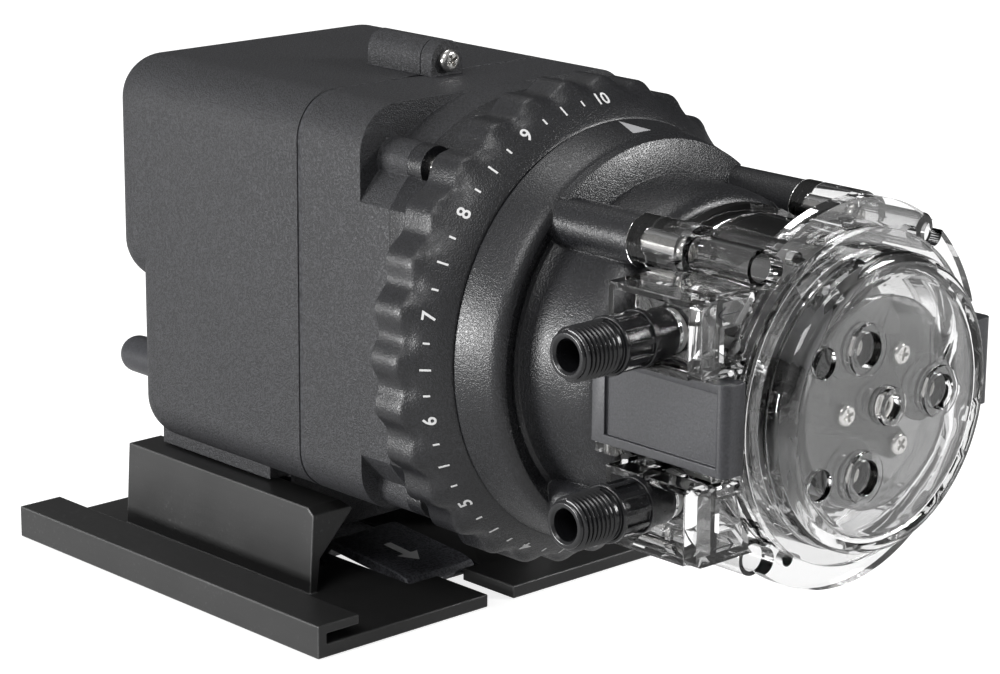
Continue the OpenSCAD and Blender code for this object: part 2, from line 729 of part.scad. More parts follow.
module feed_dial() {
  color([0.06, 0.06, 0.065]) difference() {
    round_y(axis_z) polygon([
      [dial_r, dial_rear], [dial_r, dial_rim], [dial_small, dial_front], [dial_small - 2.6, dial_front],
      [dial_small - 2.6, dial_front + 6], [land_r, dial_front + 6], [land_r, dial_front + 14],
      [land_r + 8, dial_front + 14], [dial_r - 5.3, dial_front + 17.5], [dial_r - 5.3, dial_rear]
    ]);
    for (i = [0:grip_n - 1])
      translate([0, -99.5, axis_z]) rotate([0, (i + 0.5) * 360 / grip_n, 0])
        translate([dial_r - grip_depth + grip_r, 0, 0]) rotate([-90, 0, 0]) cylinder(r = grip_r, h = 20);
  }
}
module feed_lifter() {
  color([0.5, 0.51, 0.53]) difference() {
    union() {
      round_y(axis_z) polygon([
        [land_r - 7.1, -103.4], [land_r - 7.1, -100.4], [land_r - 16, -100.4], [land_r - 16, -103.4]
      ]);
      for (a = [0:90:270])
        translate([0, 0, axis_z]) rotate([0, a, 0]) block(land_r - 10, land_r + 1, -103.4, -100.4, -4.8, 4.8);
    }
    for (a = [45:90:315])
      translate([0, 0, axis_z]) rotate([0, a, 0]) block(land_r - 14, land_r - 10.5, -110, -95, -9, 9);
  }
}
module index_plate() {
  color([0.085, 0.085, 0.09]) difference() {
    union() {
      round_y(axis_z) polygon([
        [dial_small - 0.2, dial_front - 0.45], [index_r, index_front], [14, index_front], [14, land_front - 0.1],
        [19.5, land_front - 0.1], [19.5, index_front + 3], [index_r - 3.4, index_front + 3],
        [dial_small - 3.2, dial_front - 0.45]
      ]);
      // skirt inside the dial's front edge and the seat on the land
      round_y(axis_z) polygon([
        [dial_small - 3.2, dial_front + 4.6], [dial_small - 3.2, dial_front - 1], [land_r - 4, dial_front - 10],
        [land_r - 6.5, dial_front - 10], [land_r - 6.5, land_front - 0.1], [land_r - dial_play, land_front - 0.1],
        [land_r + 1.4, dial_front - 2], [land_r + 1.4, dial_front + 4.6]
      ]);
    }
    for (i = [0:11])
      translate([0, -115, axis_z]) rotate([0, i * 30, 0]) translate([pin_ring_r, 0, 0]) cube([7, 12, 3], center = true);
    for (c = corner_list)
      bar_y(1.9, index_front - 1, dial_front + 6, c[0] * post_x, axis_z + c[1] * post_z);
  }
}
module pin_carrier() {
  color([0.56, 0.5, 0.36]) difference() {
    union() {
      bar_y(13.5, -132, -127.5, 0, axis_z);
      bar_y(9, -136, -122, 0, axis_z);
      for (a = [90, 270])
        translate([0, -130, axis_z]) rotate([0, a, 0]) translate([13, -2.4, -4]) cube([19.5, 4.6, 8]);
    }
    bar_y(main_r, -140, -110, 0, axis_z);
    for (s = sides)
      bar_y(1.5, -140, -120, 0, axis_z + s * pin_ring_r);
  }
}
module index_pins() {
  color([0.74, 0.75, 0.77]) for (s = sides) {
    bar_y(1.5, -134, -120.4, 0, axis_z + s * pin_ring_r);
    bar_y(2.6, -135.2, -132.5, 0, axis_z + s * pin_ring_r);
  }
}
module pin_spring() {
  color([0.7, 0.71, 0.73]) for (i = [0:4])
    round_y(axis_z) translate([11, -126.6 + i * 1.5]) circle(r = 0.55, $fn = 24);
}

module cover_body() {
  color([0.075, 0.075, 0.08]) difference() {
    union() {
      round_y(axis_z) polygon([
        [index_r - 0.1, index_front - 0.05], [index_r - 0.7, index_front - 1.3], [index_r - 5.1, index_front - 2.2],
        [index_r - 7.5, index_front - 3.4], [index_r - 8.9, index_front - 5.6], [dome_r, index_front - 9], [dome_r - 0.5, dome_front + 8],
        [dome_r - 1.2, dome_front + 3.5], [dome_r - 2.8, dome_front + 0.8], [dome_r - 4.4, dome_front],
        [6, dome_front], [6, dome_front + 3], [dome_r - 6, dome_front + 3.4], [dome_r - 3.6, dome_front + 8],
        [dome_r - 3.2, index_front - 6], [index_r - 6.3, index_front - 0.05]
      ]);
      // raised arch between the upper posts
      intersection() {
        round_y(axis_z) polygon([
          [index_r - 14.7, index_front], [index_r - 0.1, index_front], [index_r - 0.3, index_front - 2.2],
          [index_r - 1.8, index_front - 3.4], [index_r - 7.9, index_front - 3.8], [index_r - 8.7, index_front - 3],
          [index_r - 12.7, index_front - 3]
        ]);
        along_y(-130, -110) polygon([
          [0, axis_z + 10], [-44, axis_z + 60], [44, axis_z + 60]
        ]);
      }
      for (c = corner_list)
        bar_y(post_r, post_front, index_front - 0.05, c[0] * post_x, axis_z + c[1] * post_z);
    }
    for (c = corner_list)
      bar_y(1.9, post_front - 1, index_front + 1, c[0] * post_x, axis_z + c[1] * post_z);
  }
}
module head_screws() {
  color([0.7, 0.71, 0.73]) for (c = corner_list)
    pan_screw(c[0] * post_x, axis_z + c[1] * post_z, screw_seat, 1.75, 62, 2.9, 2.2);
}
// flat outline of the finger wings, notched where a screwdriver passes
module wing_2d() {
  difference() {
    circle(r = wing_r);
    circle(r = track_r - 0.6);
    for (s = sides)
      polygon([[0, 0], [-70, s * 70 * tan(50)], [-70, 0]]);
    polygon([[0, 0], [70, 24], [70, -24]]);
  }
}
// front panel of a port box, cut slanting beside the track
module port_panel_2d() {
  round_rect(-port_x + 0.2, -port_x + 8, box_low, box_high, 2);
  polygon([[-port_x + 2.5, box_high], [-port_x + 2.5, box_high - 7.4], [-port_x + 13.6, box_high - 7.4],
    [-port_x + 20, box_high]]);
  polygon([[-port_x + 2.5, box_low], [-port_x + 2.5, box_low + 3.6], [-33, box_low + 3.6], [-33, box_low]]);
}
module port_box() {
  difference() {
    union() {
      block(-port_x, -32, -186, -159.5, box_low, box_high);
      along_y(-190, -185.8) port_panel_2d();
    }
    block(-port_x - 1, -47.7, -185.8, -161.3, box_low + box_wall, box_high - box_wall);
    block(-45.5, -34.4, -185.8, -161.3, box_low + box_wall, box_high - box_wall);
    // room for the fitting's neck, and its seat
    bar_x(neck_r + gap, -port_x - 1, -47.7, port_y, port_z);
    bar_x(5.8, -52, -44, port_y, port_z);
    bar_x(30, -33.5, -10, port_y, 0);
  }
}
module tube_housing() {
  color([0.86, 0.88, 0.9, 0.3]) difference() {
    union() {
      difference() {
        union() {
          // track wall, rear plate and front ring
          round_y(axis_z) polygon([
            [9, track_rear], [track_rear_r, track_rear], [track_rear_r, track_rear - 3],
            [track_r + 1.4, track_rear - 4.5], [track_r, wing_rear], [flange_r, wing_rear], [flange_r, track_front],
            [track_r - track_wall, track_front], [track_r - track_wall, track_rear - 3.2], [9, track_rear - 3.2]
          ]);
          along_y(wing_front, wing_rear) translate([0, axis_z]) wing_2d();
        }
        // mouths of the two ports
        for (s = sides) {
          bar_x(tube_r + 0.6, -70, -20, port_y, axis_z + s * port_z);
          translate([0, 0, axis_z + s * port_z]) block(-46, -22, port_y - 6, port_y + 6, -6.2, 6.2);
        }
        along_y(wing_front - 1, wing_rear + 1) for (c = corner_list)
          translate([c[0] * (post_x - 8.6), axis_z + c[1] * (post_z + 1.4)]) circle(r = 1.9);
      }
      // sleeves over the black posts and guide tubes up to the wings
      for (c = corner_list) {
        bar_y(7, sleeve_front, post_front, c[0] * post_x, axis_z + c[1] * post_z);
        bar_y(4.7, wing_rear - 0.6, sleeve_front + 1, c[0] * post_x, axis_z + c[1] * post_z);
      }
      for (s = [0, 1])
        translate([0, 0, axis_z]) mirror([0, 0, s]) port_box();
      // lugs for the latches' pins
      for (s = [0, 1])
        mirror([s, 0, 0]) {
          block(-latch_pin_x - 2.6, -38.4, -156.4, -149.6, axis_z + latch_top + 0.3, axis_z + latch_top + 2.9);
          block(-latch_pin_x - 2.6, -38.4, -156.4, -149.6, axis_z - latch_low - 2.9, axis_z - latch_low - 0.3);
        }
    }
    // bore through the track stays open
    round_y(axis_z) polygon([
      [0, track_rear - 3.2], [track_r - track_wall, track_rear - 3.2], [track_r - track_wall, -230], [0, -230]
    ]);
    for (c = corner_list) {
      bar_y(3.5, -200, screw_seat, c[0] * post_x, axis_z + c[1] * post_z);
      bar_y(1.9, sleeve_front - 4, post_front + 1, c[0] * post_x, axis_z + c[1] * post_z);
    }
    for (s = sides) {
      bar_x(tube_r + 0.6, -46, -20, port_y, axis_z + s * port_z);
      translate([s * latch_pin_x, latch_pin_y, axis_z - latch_low - 4]) cylinder(r = 1.6, h = latch_low + latch_top + 8);
      // room for the front cover's ears
      block(min(s * 40.6, s * 44), max(s * 40.6, s * 44), track_front - 1, wing_rear + 1, axis_z - 7, axis_z + 9);
    }
  }
}
module front_cover() {
  color([0.88, 0.9, 0.92, 0.25]) difference() {
    union() {
      round_y(axis_z) polygon([
        [track_r - track_wall - gap, track_front + 6.4], [track_r - track_wall - gap, track_front - 0.2],
        [flange_r, track_front - 0.2], [flange_r, track_front - 2.6], [cap_r + 0.2, track_front - 2.6],
        [cap_r - 0.1, cap_front + 3.5], [cap_r - 0.7, cap_front + 2], [cap_r - 1.8, cap_front + 1.1],
        [cap_r - 3, cap_front + 0.8], [cap_r - 4.1, cap_front + 1.1], [cap_r - 4.8, cap_front + 1.8],
        [cap_r - 5.6, cap_front + 1.5], [cap_r - 6.4, cap_face], [0, cap_face],
        [0, cap_inside], [cap_r - 4.6, cap_inside], [cap_r - 2.8, cap_inside + 0.6],
        [cap_r - 1.9, cap_inside + 2], [cap_r - 1.9, track_front - 4], [cap_r - 3.8, track_front - 2],
        [cap_r - 3.8, track_front + 6.4]
      ]);
      bar_y(4.9, cap_front, cap_face + 1, 0, axis_z);
      for (a = roller_at)
        bar_y(6.6, cap_front + 0.3, cap_face + 1, orbit_r * cos(a), axis_z + orbit_r * sin(a));
      // ears inside the latches
      for (s = [0, 1]) mirror([s, 0, 0])
        block(-46.8, -41, track_front - 1, track_front + 1.2, axis_z - 6, axis_z + 8);
    }
    bar_y(3.3, cap_front - 2, cap_inside + 2, 0, axis_z);
    for (a = [148.2, 211.8])
      bar_y(3.9, cap_front - 2, cap_inside + 2, 28.9 * cos(a), axis_z + 28.9 * sin(a));
    for (a = roller_at)
      bar_y(4.5, cap_front - 2, cap_inside + 2, orbit_r * cos(a), axis_z + orbit_r * sin(a));
  }
}

// the three rollers round the axis
function orbit_x(a) = orbit_r * cos(a);
function orbit_z(a) = axis_z + orbit_r * sin(a);
module roller_carrier() {
  color([0.8, 0.82, 0.84, 0.5]) difference() {
    union() {
      bar_y(27, carrier_rear - 2.2, carrier_rear, 0, axis_z);
      bar_y(9.6, carrier_front + 2.6, carrier_rear - 2, 0, axis_z);
      for (a = carrier_screw_at)
        bar_y(4.2, carrier_front + 2.6, carrier_rear - 2, 13.4 * cos(a), axis_z + 13.4 * sin(a));
    }
    difference() {
      bar_y(main_r, -202, -150, 0, axis_z);
      block(-6, 6, -203, -160.2, axis_z + 3, axis_z + 6);
    }
    for (a = roller_at)
      bar_y(2.5, -170, -150, orbit_x(a), orbit_z(a));
    for (a = carrier_screw_at)
      bar_y(1.5, -203, -185, 13.4 * cos(a), axis_z + 13.4 * sin(a));
  }
}
module carrier_plate() {
  color([0.86, 0.88, 0.9, 0.35]) difference() {
    union() {
      bar_y(27, carrier_front, carrier_front + 2.6, 0, axis_z);
    }
    bar_y(main_r, -210, -150, 0, axis_z);
    for (a = roller_at)
      bar_y(2.5, -202.4, -190, orbit_x(a), orbit_z(a));
    for (a = carrier_screw_at)
      bar_y(1.7, -203, -185, 13.4 * cos(a), axis_z + 13.4 * sin(a));
  }
}
module carrier_screws() {
  color([0.76, 0.77, 0.79]) for (a = carrier_screw_at)
    pan_screw(13.4 * cos(a), axis_z + 13.4 * sin(a), carrier_front, 1.5, 12, 3, 1.6);
}
module roller(a) {
  difference() {
    round_y(orbit_z(a), orbit_x(a)) polygon([
      [2.5 + run_fit, roller_y0], [roller_r + 1, roller_y0], [roller_r + 1, roller_y0 - 1.6],
      [roller_r, roller_y0 - 2.4], [roller_r, roller_y1 + 2.4], [roller_r + 1, roller_y1 + 1.6],
      [roller_r + 1, roller_y1], [2.5 + run_fit, roller_y1]
    ]);
  }
}
module roller_a() {
  color([0.88, 0.88, 0.86]) roller(1);
}
module roller_b() {
  color([0.88, 0.88, 0.86]) roller(121);
}
module roller_c() {
  color([0.88, 0.88, 0.86]) roller(241);
}
module roller_pins() {
  color([0.74, 0.75, 0.77]) for (a = roller_at) {
    bar_y(2.5, carrier_front - 0.4, carrier_rear, orbit_x(a), orbit_z(a));
  }
}

// ring section of the tube's wall
module tube_ring() {
  difference() {
    circle(r = tube_r, $fn = 32);
    circle(r = tube_bore, $fn = 32);
  }
}
// a leg in, a bend, the long arc round the track, and the same out
module pump_tube() {
  color([0.93, 0.88, 0.76]) {
    for (s = [0, 1])
      translate([0, 0, axis_z]) mirror([0, 0, s]) {
        translate([-50, port_y, port_z]) rotate([0, 90, 0]) linear_extrude(50 - bend_dx) tube_ring();
        translate([-bend_dx, port_y, bend_dz]) rotate([90, 0, 0]) rotate([0, 0, -90])
          rotate_extrude(angle = bend_a) translate([tube_bend_r, 0]) tube_ring();
      }
    translate([0, port_y, axis_z]) rotate([90, 0, 0]) rotate([0, 0, -90 - bend_a + 0.02])
      rotate_extrude(angle = 179.96 + 2 * bend_a) translate([tube_path_r, 0]) tube_ring();
  }
}
module tube_ferrules() {
  color([0.9, 0.9, 0.88]) for (s = sides)
    difference() {
      bar_x(5.5, -47.7, -43.7, port_y, axis_z + s * port_z);
      bar_x(tube_r, -52, -40, port_y, axis_z + s * port_z);
    }
}
// threaded mouth, lip, fluted body, collar and neck along X
module fitting(z0) {
  thread_l = 13;
  pitch = 1.4;
  difference() {
    union() {
      translate([fitting_mouth, port_y, z0]) rotate([0, 90, 0]) rotate_extrude() polygon([
        [0, 0], [thread_r - 1.2, 0], [thread_r - 0.8, 0.7], [thread_r - 0.5, thread_l + 1], [0, thread_l + 1]
      ]);
      for (i = [0:7])
        translate([fitting_mouth + 1.5 + i * pitch, port_y, z0]) rotate([0, 90, 0]) rotate_extrude() polygon([
          [3, 0], [thread_r - 0.9 + i * 0.07, 0], [thread_r - 0.2 + i * 0.07, 0.45],
          [thread_r - 0.2 + i * 0.07, 0.65], [thread_r - 0.9 + i * 0.07, 1.1], [3, 1.1]
        ]);
      bar_x(7.3, fitting_mouth + thread_l, fitting_mouth + thread_l + 1.5, port_y, z0);
      bar_x(neck_r, fitting_mouth + thread_l, fitting_mouth + 32, port_y, z0);
      for (a = [0:45:315])
        translate([fitting_mouth + thread_l, port_y, z0]) rotate([a, 0, 0]) translate([0, -1.2, 0])
          cube([-port_x - 2.2 - fitting_mouth - thread_l, 2.4, 6.9]);
      bar_x(7.3, -port_x - 2.2, -port_x - 0.4, port_y, z0);
    }
    bar_x(fitting_bore, fitting_mouth - 1, fitting_mouth + 20, port_y, z0);
    bar_x(tube_bore, fitting_mouth - 1, fitting_mouth + 29.9, port_y, z0);
    bar_x(tube_r + 0.05, fitting_mouth + 29.8, fitting_mouth + 40, port_y, z0);
  }
}
module upper_fitting() {
  color([0.05, 0.05, 0.055]) fitting(axis_z + port_z);
}
module lower_fitting() {
  color([0.05, 0.05, 0.055]) fitting(axis_z - port_z);
}
module fitting_seals() {
  color([0.03, 0.03, 0.03]) for (s = sides)
    translate([-42.2, port_y, axis_z + s * port_z]) rotate([0, 90, 0]) rotate_extrude()
      translate([tube_r + 0.66, 0]) circle(r = 0.6, $fn = 24);
}

// a latch for the -X side, hinged at its rear end, its front wall before the cover's ear
module latch_body() {
  z0 = axis_z - latch_low;
  z1 = axis_z + latch_top;
  difference() {
    union() {
      block(-latch_x, -latch_inner, latch_front, latch_pin_y, z0, z1);
      block(-latch_x, -latch_x + 2.4, latch_front, latch_rear, z0, z1);
      translate([-latch_pin_x, latch_pin_y, z0]) cylinder(r = 2.9, h = z1 - z0);
    }
    // recessed panel
    block(-latch_x - 1, -latch_x + 0.9, latch_front + 2.8, latch_rear - 4.3, z0 + 2.3, z1 - 2.3);
    // hollow back
    block(-latch_x + 2.4, -latch_inner + 1, latch_front + 1.5, latch_pin_y - 4.5, z0 + 1.8, z1 - 1.8);
    // rounded nose
    difference() {
      block(-latch_x - 1, -latch_x + 2.4, latch_front - 1, latch_front + 2.4, z0 - 1, z1 + 1);
      translate([-latch_x + 2.4, latch_front + 2.4, z0 - 1]) cylinder(r = 2.4, h = z1 - z0 + 2);
    }
    translate([-latch_pin_x, latch_pin_y, z0 - 1]) cylinder(r = 1.6 + run_fit, h = z1 - z0 + 2);
  }
}
module latch_left() {
  color([0.055, 0.055, 0.06]) latch_body();
}
module latch_right() {
  color([0.055, 0.055, 0.06]) mirror([1, 0, 0]) latch_body();
}
module latch_pins() {
  color([0.74, 0.75, 0.77]) for (s = sides)
    translate([s * latch_pin_x, latch_pin_y, axis_z - latch_low - 2.9]) cylinder(r = 1.6, h = latch_low + latch_top + 5.8);
}

mounting_bracket();
bracket_tongue();
dovetail_foot();
foot_screws();
motor_housing();
housing_seal();
gear_case();
gear_cover();
case_screws();
cord_gland();
stator_core();
stator_coil();
rotor();
motor_shaft();
motor_end_frame();
motor_bushes();
cooling_fan();
gear_plate();
plate_screws();
first_gear();
gear_axle();
main_gear();
main_shaft();
main_bearing();
shaft_bush();
feed_dial();
feed_lifter();
index_plate();
pin_carrier();
index_pins();
pin_spring();
cover_body();
head_screws();
tube_housing();
front_cover();
roller_carrier();
carrier_plate();
carrier_screws();
roller_a();
roller_b();
roller_c();
roller_pins();
pump_tube();
tube_ferrules();
upper_fitting();
lower_fitting();
fitting_seals();
latch_left();
latch_right();
latch_pins();
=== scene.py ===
# %% [markdown]
# This lesson dresses a metering pump: a black motor housing on a sliding wall bracket, a numbered
# feed dial, and a clear head with three rollers inside. The CAD solids give every piece its place
# and size. Here they get rounded edges, real finishes and the small things that a drawing leaves out.

# %% Load the frame
import json
import math
import bpy
from mathutils import Matrix, Vector


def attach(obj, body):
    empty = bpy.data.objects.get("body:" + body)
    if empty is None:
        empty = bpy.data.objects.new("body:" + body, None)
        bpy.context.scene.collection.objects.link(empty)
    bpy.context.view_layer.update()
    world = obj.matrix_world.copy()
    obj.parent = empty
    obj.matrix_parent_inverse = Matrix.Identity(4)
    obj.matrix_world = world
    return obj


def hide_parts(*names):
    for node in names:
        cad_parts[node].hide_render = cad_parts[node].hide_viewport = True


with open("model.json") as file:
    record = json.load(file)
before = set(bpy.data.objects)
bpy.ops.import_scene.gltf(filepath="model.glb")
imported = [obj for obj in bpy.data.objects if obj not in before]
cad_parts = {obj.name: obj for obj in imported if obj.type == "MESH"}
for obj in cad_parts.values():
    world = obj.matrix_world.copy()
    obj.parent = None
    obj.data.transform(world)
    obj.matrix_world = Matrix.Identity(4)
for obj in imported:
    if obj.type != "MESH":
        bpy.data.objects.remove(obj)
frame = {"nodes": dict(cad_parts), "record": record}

MM = 0.001
# Places that several pieces share, in millimetres. An UP is counted from the shaft.
SHAFT_Z = 85.8
POST_X, POST_UP = 29.8, 36.5
EAR_X, EAR_UP = 38, 45.2
PORT_Y, PORT_UP = -170.6, 20.8
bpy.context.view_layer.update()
body_of = {node: body for body, nodes in frame["record"]["behaviour"]["bodies"].items() for node in nodes}
bpy.ops.object.select_all(action="DESELECT")


def moved(x, y, z):
    """A move by millimetres."""
    return Matrix.Translation(Vector((x, y, z)) * MM)


def rolled(degrees, axis):
    return Matrix.Rotation(math.radians(degrees), 4, axis)


def facing(x_axis, y_axis, z_axis):
    """The turn that lays X, Y and Z along three directions."""
    return Matrix((x_axis, y_axis, z_axis)).transposed().to_4x4()


# %% [markdown]
# The camera comes first, because every later look is judged through it. Its place was solved from the
# straight edges and the circles of the real pump, so it is written as a position and three directions.
# A long lens from a little under a metre away keeps the perspective calm, as in a catalogue picture.

# %% Camera
camera_data = bpy.data.cameras.new("studio_camera")
camera = bpy.data.objects.new("studio_camera", camera_data)
bpy.context.collection.objects.link(camera)
camera_right = (0.730818, -0.682535, 0.007180)
camera_up = (0.172101, 0.194434, 0.965700)
camera_back = (-0.660520, -0.704515, 0.259561)
camera.matrix_world = moved(-568.706, -669.208, 299.053) @ facing(camera_right, camera_up, camera_back)
camera_data.sensor_width = 36
camera_data.lens = 111.95
camera_data.shift_x = 0.0004
camera_data.shift_y = -0.0015
camera_data.clip_start = 0.01
bpy.context.scene.camera = camera
print("camera", round(camera_data.lens, 1), "mm lens at", [round(v, 3) for v in camera.location])

# %% [markdown]
# The pump stands on a pale studio floor. The floor is a big plane that runs far behind the object.
# It glows a little for the camera, and for what glass and metal show, so it comes out almost white
# while the soft shadow under the bracket stays. Black plastic is drawn by what it mirrors, so the room
# round the floor isn't evenly bright: it is pale on the left and above, and falls off to the right.

# %% Wiring for materials
class Wire:
    """One output of a material's nodes. Its + - and * add the Math nodes that work it out."""

    def __init__(self, finish, socket):
        self.finish = finish
        self.socket = socket

    def maths(self, operation, first, second):
        return self.finish.node("ShaderNodeMath", {"operation": operation}, {0: first, 1: second})

    def __add__(self, other):
        return self.maths("ADD", self, other)

    def __radd__(self, other):
        return self.maths("ADD", other, self)

    def __sub__(self, other):
        return self.maths("SUBTRACT", self, other)

    def __rsub__(self, other):
        return self.maths("SUBTRACT", other, self)

    def __mul__(self, other):
        return self.maths("MULTIPLY", self, other)

    def kept(self, low=0.0, high=1.0):
        return self.finish.node("ShaderNodeClamp", {}, {"Value": self, "Min": low, "Max": high})


class Finish:
    """A material with one Principled shader, and one method that adds any other node."""

    def __init__(self, name, **constants):
        self.material = bpy.data.materials.new(name)
        self.material.use_nodes = True
        self.tree = self.material.node_tree
        self.shader = self.tree.nodes["Principled BSDF"]
        for socket, value in constants.items():
            self.give(socket.replace("_", " "), value)

    def put(self, socket, value):
        if isinstance(value, Wire):
            self.tree.links.new(value.socket, socket)
        else:
            socket.default_value = value

    def give(self, socket, value):
        self.put(self.shader.inputs[socket], value)

    def node(self, kind, settings, inputs, out=0):
        made = self.tree.nodes.new(kind)
        for key, value in settings.items():
            setattr(made, key, value)
        for key, value in inputs.items():
            self.put(made.inputs[key], value)
        return Wire(self, made.outputs[out])

    def place(self):
        return self.node("ShaderNodeTexCoord", {}, {}, "Object")

    def noise(self, scale, detail, rough, vector):
        inputs = {"Vector": vector, "Scale": scale, "Detail": detail, "Roughness": rough}
        return self.node("ShaderNodeTexNoise", {}, inputs)

    def blend(self, factor, first, second):
        """The Mix node's colour sockets are 6 and 7, and its colour output is 2."""
        return self.node("ShaderNodeMix", {"data_type": "RGBA"}, {0: factor, 6: first, 7: second}, 2)

    def softened_normal(self, radius):
        return self.node("ShaderNodeBevel", {"samples": 4}, {"Radius": radius})

    def edge(self, soft, strength):
        straight = self.node("ShaderNodeNewGeometry", {}, {}, "Normal")
        alike = self.node("ShaderNodeVectorMath", {"operation": "DOT_PRODUCT"},
                          {0: soft, 1: straight}, "Value")
        return ((1.0 - alike) * strength).kept()

    def bump(self, height, distance, strength, normal=None):
        inputs = {"Height": height, "Distance": distance, "Strength": strength}
        if normal is not None:
            inputs["Normal"] = normal
        self.give("Normal", self.node("ShaderNodeBump", {}, inputs))


def grey(value):
    return (value, value, value, 1)


print("material helpers ready")

# %% Floor, world and lamps
bpy.ops.mesh.primitive_plane_add(size=8, location=(0, 0, -0.0003))
floor = bpy.context.object
floor.name = "studio_floor"
floor_finish = Finish("studio_floor_white", Roughness=0.9)
floor_finish.give("Base Color", grey(0.55))
ray = floor_finish.tree.nodes.new("ShaderNodeLightPath")
straight, mirrored, refracted = [Wire(floor_finish, ray.outputs["Is %s Ray" % kind])
                                 for kind in ("Camera", "Glossy", "Transmission")]
seen = (straight + mirrored * 0.26 + refracted * 0.8).kept()
glow = floor_finish.tree.nodes.new("ShaderNodeEmission")
floor_finish.put(glow.inputs["Strength"], seen * 0.8)
both = floor_finish.tree.nodes.new("ShaderNodeAddShader")
floor_finish.tree.links.new(floor_finish.shader.outputs[0], both.inputs[0])
floor_finish.tree.links.new(glow.outputs[0], both.inputs[1])
floor_finish.tree.links.new(both.outputs[0], floor_finish.tree.nodes["Material Output"].inputs["Surface"])
floor.data.materials.append(floor_finish.material)

world = bpy.data.worlds.new("studio_world")
bpy.context.scene.world = world
world.use_nodes = True
sky = world.node_tree
background = sky.nodes["Background"]
background.inputs["Color"].default_value = grey(1.0)
outlook = sky.nodes.new("ShaderNodeTexCoord")
lean = sky.nodes.new("ShaderNodeVectorMath")
lean.operation = "DOT_PRODUCT"
lean.inputs[1].default_value = Vector((-0.75, 0.05, 0.66)).normalized()
sky.links.new(outlook.outputs["Generated"], lean.inputs[0])
falloff = sky.nodes.new("ShaderNodeMapRange")
falloff.interpolation_type = "SMOOTHSTEP"
for socket, value in {"From Min": -0.45, "From Max": 1.0, "To Min": 0.04, "To Max": 0.5}.items():
    falloff.inputs[socket].default_value = value
sky.links.new(lean.outputs["Value"], falloff.inputs["Value"])
path = sky.nodes.new("ShaderNodeLightPath")
shown = sky.nodes.new("ShaderNodeMath")
shown.operation = "MAXIMUM"
sky.links.new(path.outputs["Is Camera Ray"], shown.inputs[0])
sky.links.new(falloff.outputs[0], shown.inputs[1])
sky.links.new(shown.outputs[0], background.inputs["Strength"])


def lamp(name, place, target, size, power):
    data = bpy.data.lights.new(name, "AREA")
    data.shape = "RECTANGLE"
    data.size, data.size_y = size
    data.energy = power
    made = bpy.data.objects.new(name, data)
    bpy.context.collection.objects.link(made)
    away = Vector(place) - Vector(target)
    made.rotation_euler = away.to_track_quat("Z", "Y").to_euler()
    made.location = place


lamp("key_softbox", (-1.0, -0.4, 1.2), (0, -0.05, 0.08), (0.7, 0.5), 9)
lamp("left_softbox", (-1.34, 0.52, 0.15), (0, -0.08, 0.09), (0.6, 0.3), 22)
lamp("top_softbox", (0.15, 0.35, 1.5), (0, -0.05, 0.08), (0.6, 0.5), 4)
lamp("right_softbox", (0.95, -1.15, 0.75), (0, -0.12, 0.1), (0.34, 0.5), 17)
bpy.context.scene.view_settings.view_transform = "Standard"
print("floor, world and four lamps placed")

# %% [markdown]
# A moulded housing leaves its tool with soft edges, while the solids have sharp ones. A copy of a solid
# is welded, its flat facets are joined, and a Bevel modifier rounds what is left. The copy then stands
# for the solid. Doing it this way keeps every size, and gives each edge the thin line of light that
# a real edge has.

# %% Rounded copies of solids
def only(piece):
    bpy.ops.object.select_all(action="DESELECT")
    piece.select_set(True)
    bpy.context.view_layer.objects.active = piece


def settled(piece):
    """Writes a piece's place, turn and scale into its mesh."""
    only(piece)
    bpy.ops.object.transform_apply(location=True, rotation=True, scale=True)


def joined(parts):
    """Makes the first part hold all of them."""
    bpy.ops.object.select_all(action="DESELECT")
    for part in parts:
        part.select_set(True)
    bpy.context.view_layer.objects.active = parts[0]
    if len(parts) > 1:
        bpy.ops.object.join()


def applied(piece, kind, **settings):
    only(piece)
    modifier = piece.modifiers.new(kind.lower(), kind)
    for key, value in settings.items():
        setattr(modifier, key, value)
    bpy.ops.object.modifier_apply(modifier=modifier.name)


def loose_copy(node, name):
    source = frame["nodes"][node]
    piece = bpy.data.objects.new(name, source.data.copy())
    bpy.context.collection.objects.link(piece)
    only(piece)
    bpy.ops.object.mode_set(mode="EDIT")
    bpy.ops.mesh.select_all(action="SELECT")
    bpy.ops.mesh.remove_doubles(threshold=0.000004)
    bpy.ops.mesh.dissolve_limited(angle_limit=math.radians(0.4))
    bpy.ops.object.mode_set(mode="OBJECT")
    return piece


def rounded(piece, width, segments=2, limit=32):
    only(piece)
    bpy.ops.object.shade_smooth_by_angle(angle=math.radians(limit))
    applied(piece, "BEVEL", width=width * MM, segments=segments, limit_method="ANGLE",
            angle_limit=math.radians(limit), harden_normals=True, use_clamp_overlap=True,
            miter_outer="MITER_ARC")


def finished(piece, finish, body, stands_for=()):
    piece.data.materials.clear()
    piece.data.materials.append(finish.material)
    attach(piece, body)
    if stands_for:
        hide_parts(*stands_for)


def softened(node, finish, width, segments=2):
    piece = loose_copy(node, node + "_moulded")
    rounded(piece, width, segments)
    finished(piece, finish, body_of[node], [node])
    print(piece.name, len(piece.data.polygons), "faces")


def painted(node, finish):
    holder = frame["nodes"][node]
    if not holder.material_slots:
        holder.data.materials.append(finish.material)
    for held in holder.material_slots:
        held.material = finish.material


print("rounding helpers ready")

# %% [markdown]
# The housings are black plastic from a spark-eroded tool: a fine even grain that breaks the light into
# specks, with faint scuffs where hands and boxes rubbed it. Two noises of different size make the grain
# as bump, and a slow third one changes colour and roughness a little, so no face is one flat grey.

# %% Finishes of black plastic
def coal(value):
    return (value * 0.97, value * 0.99, value * 1.12, 1)


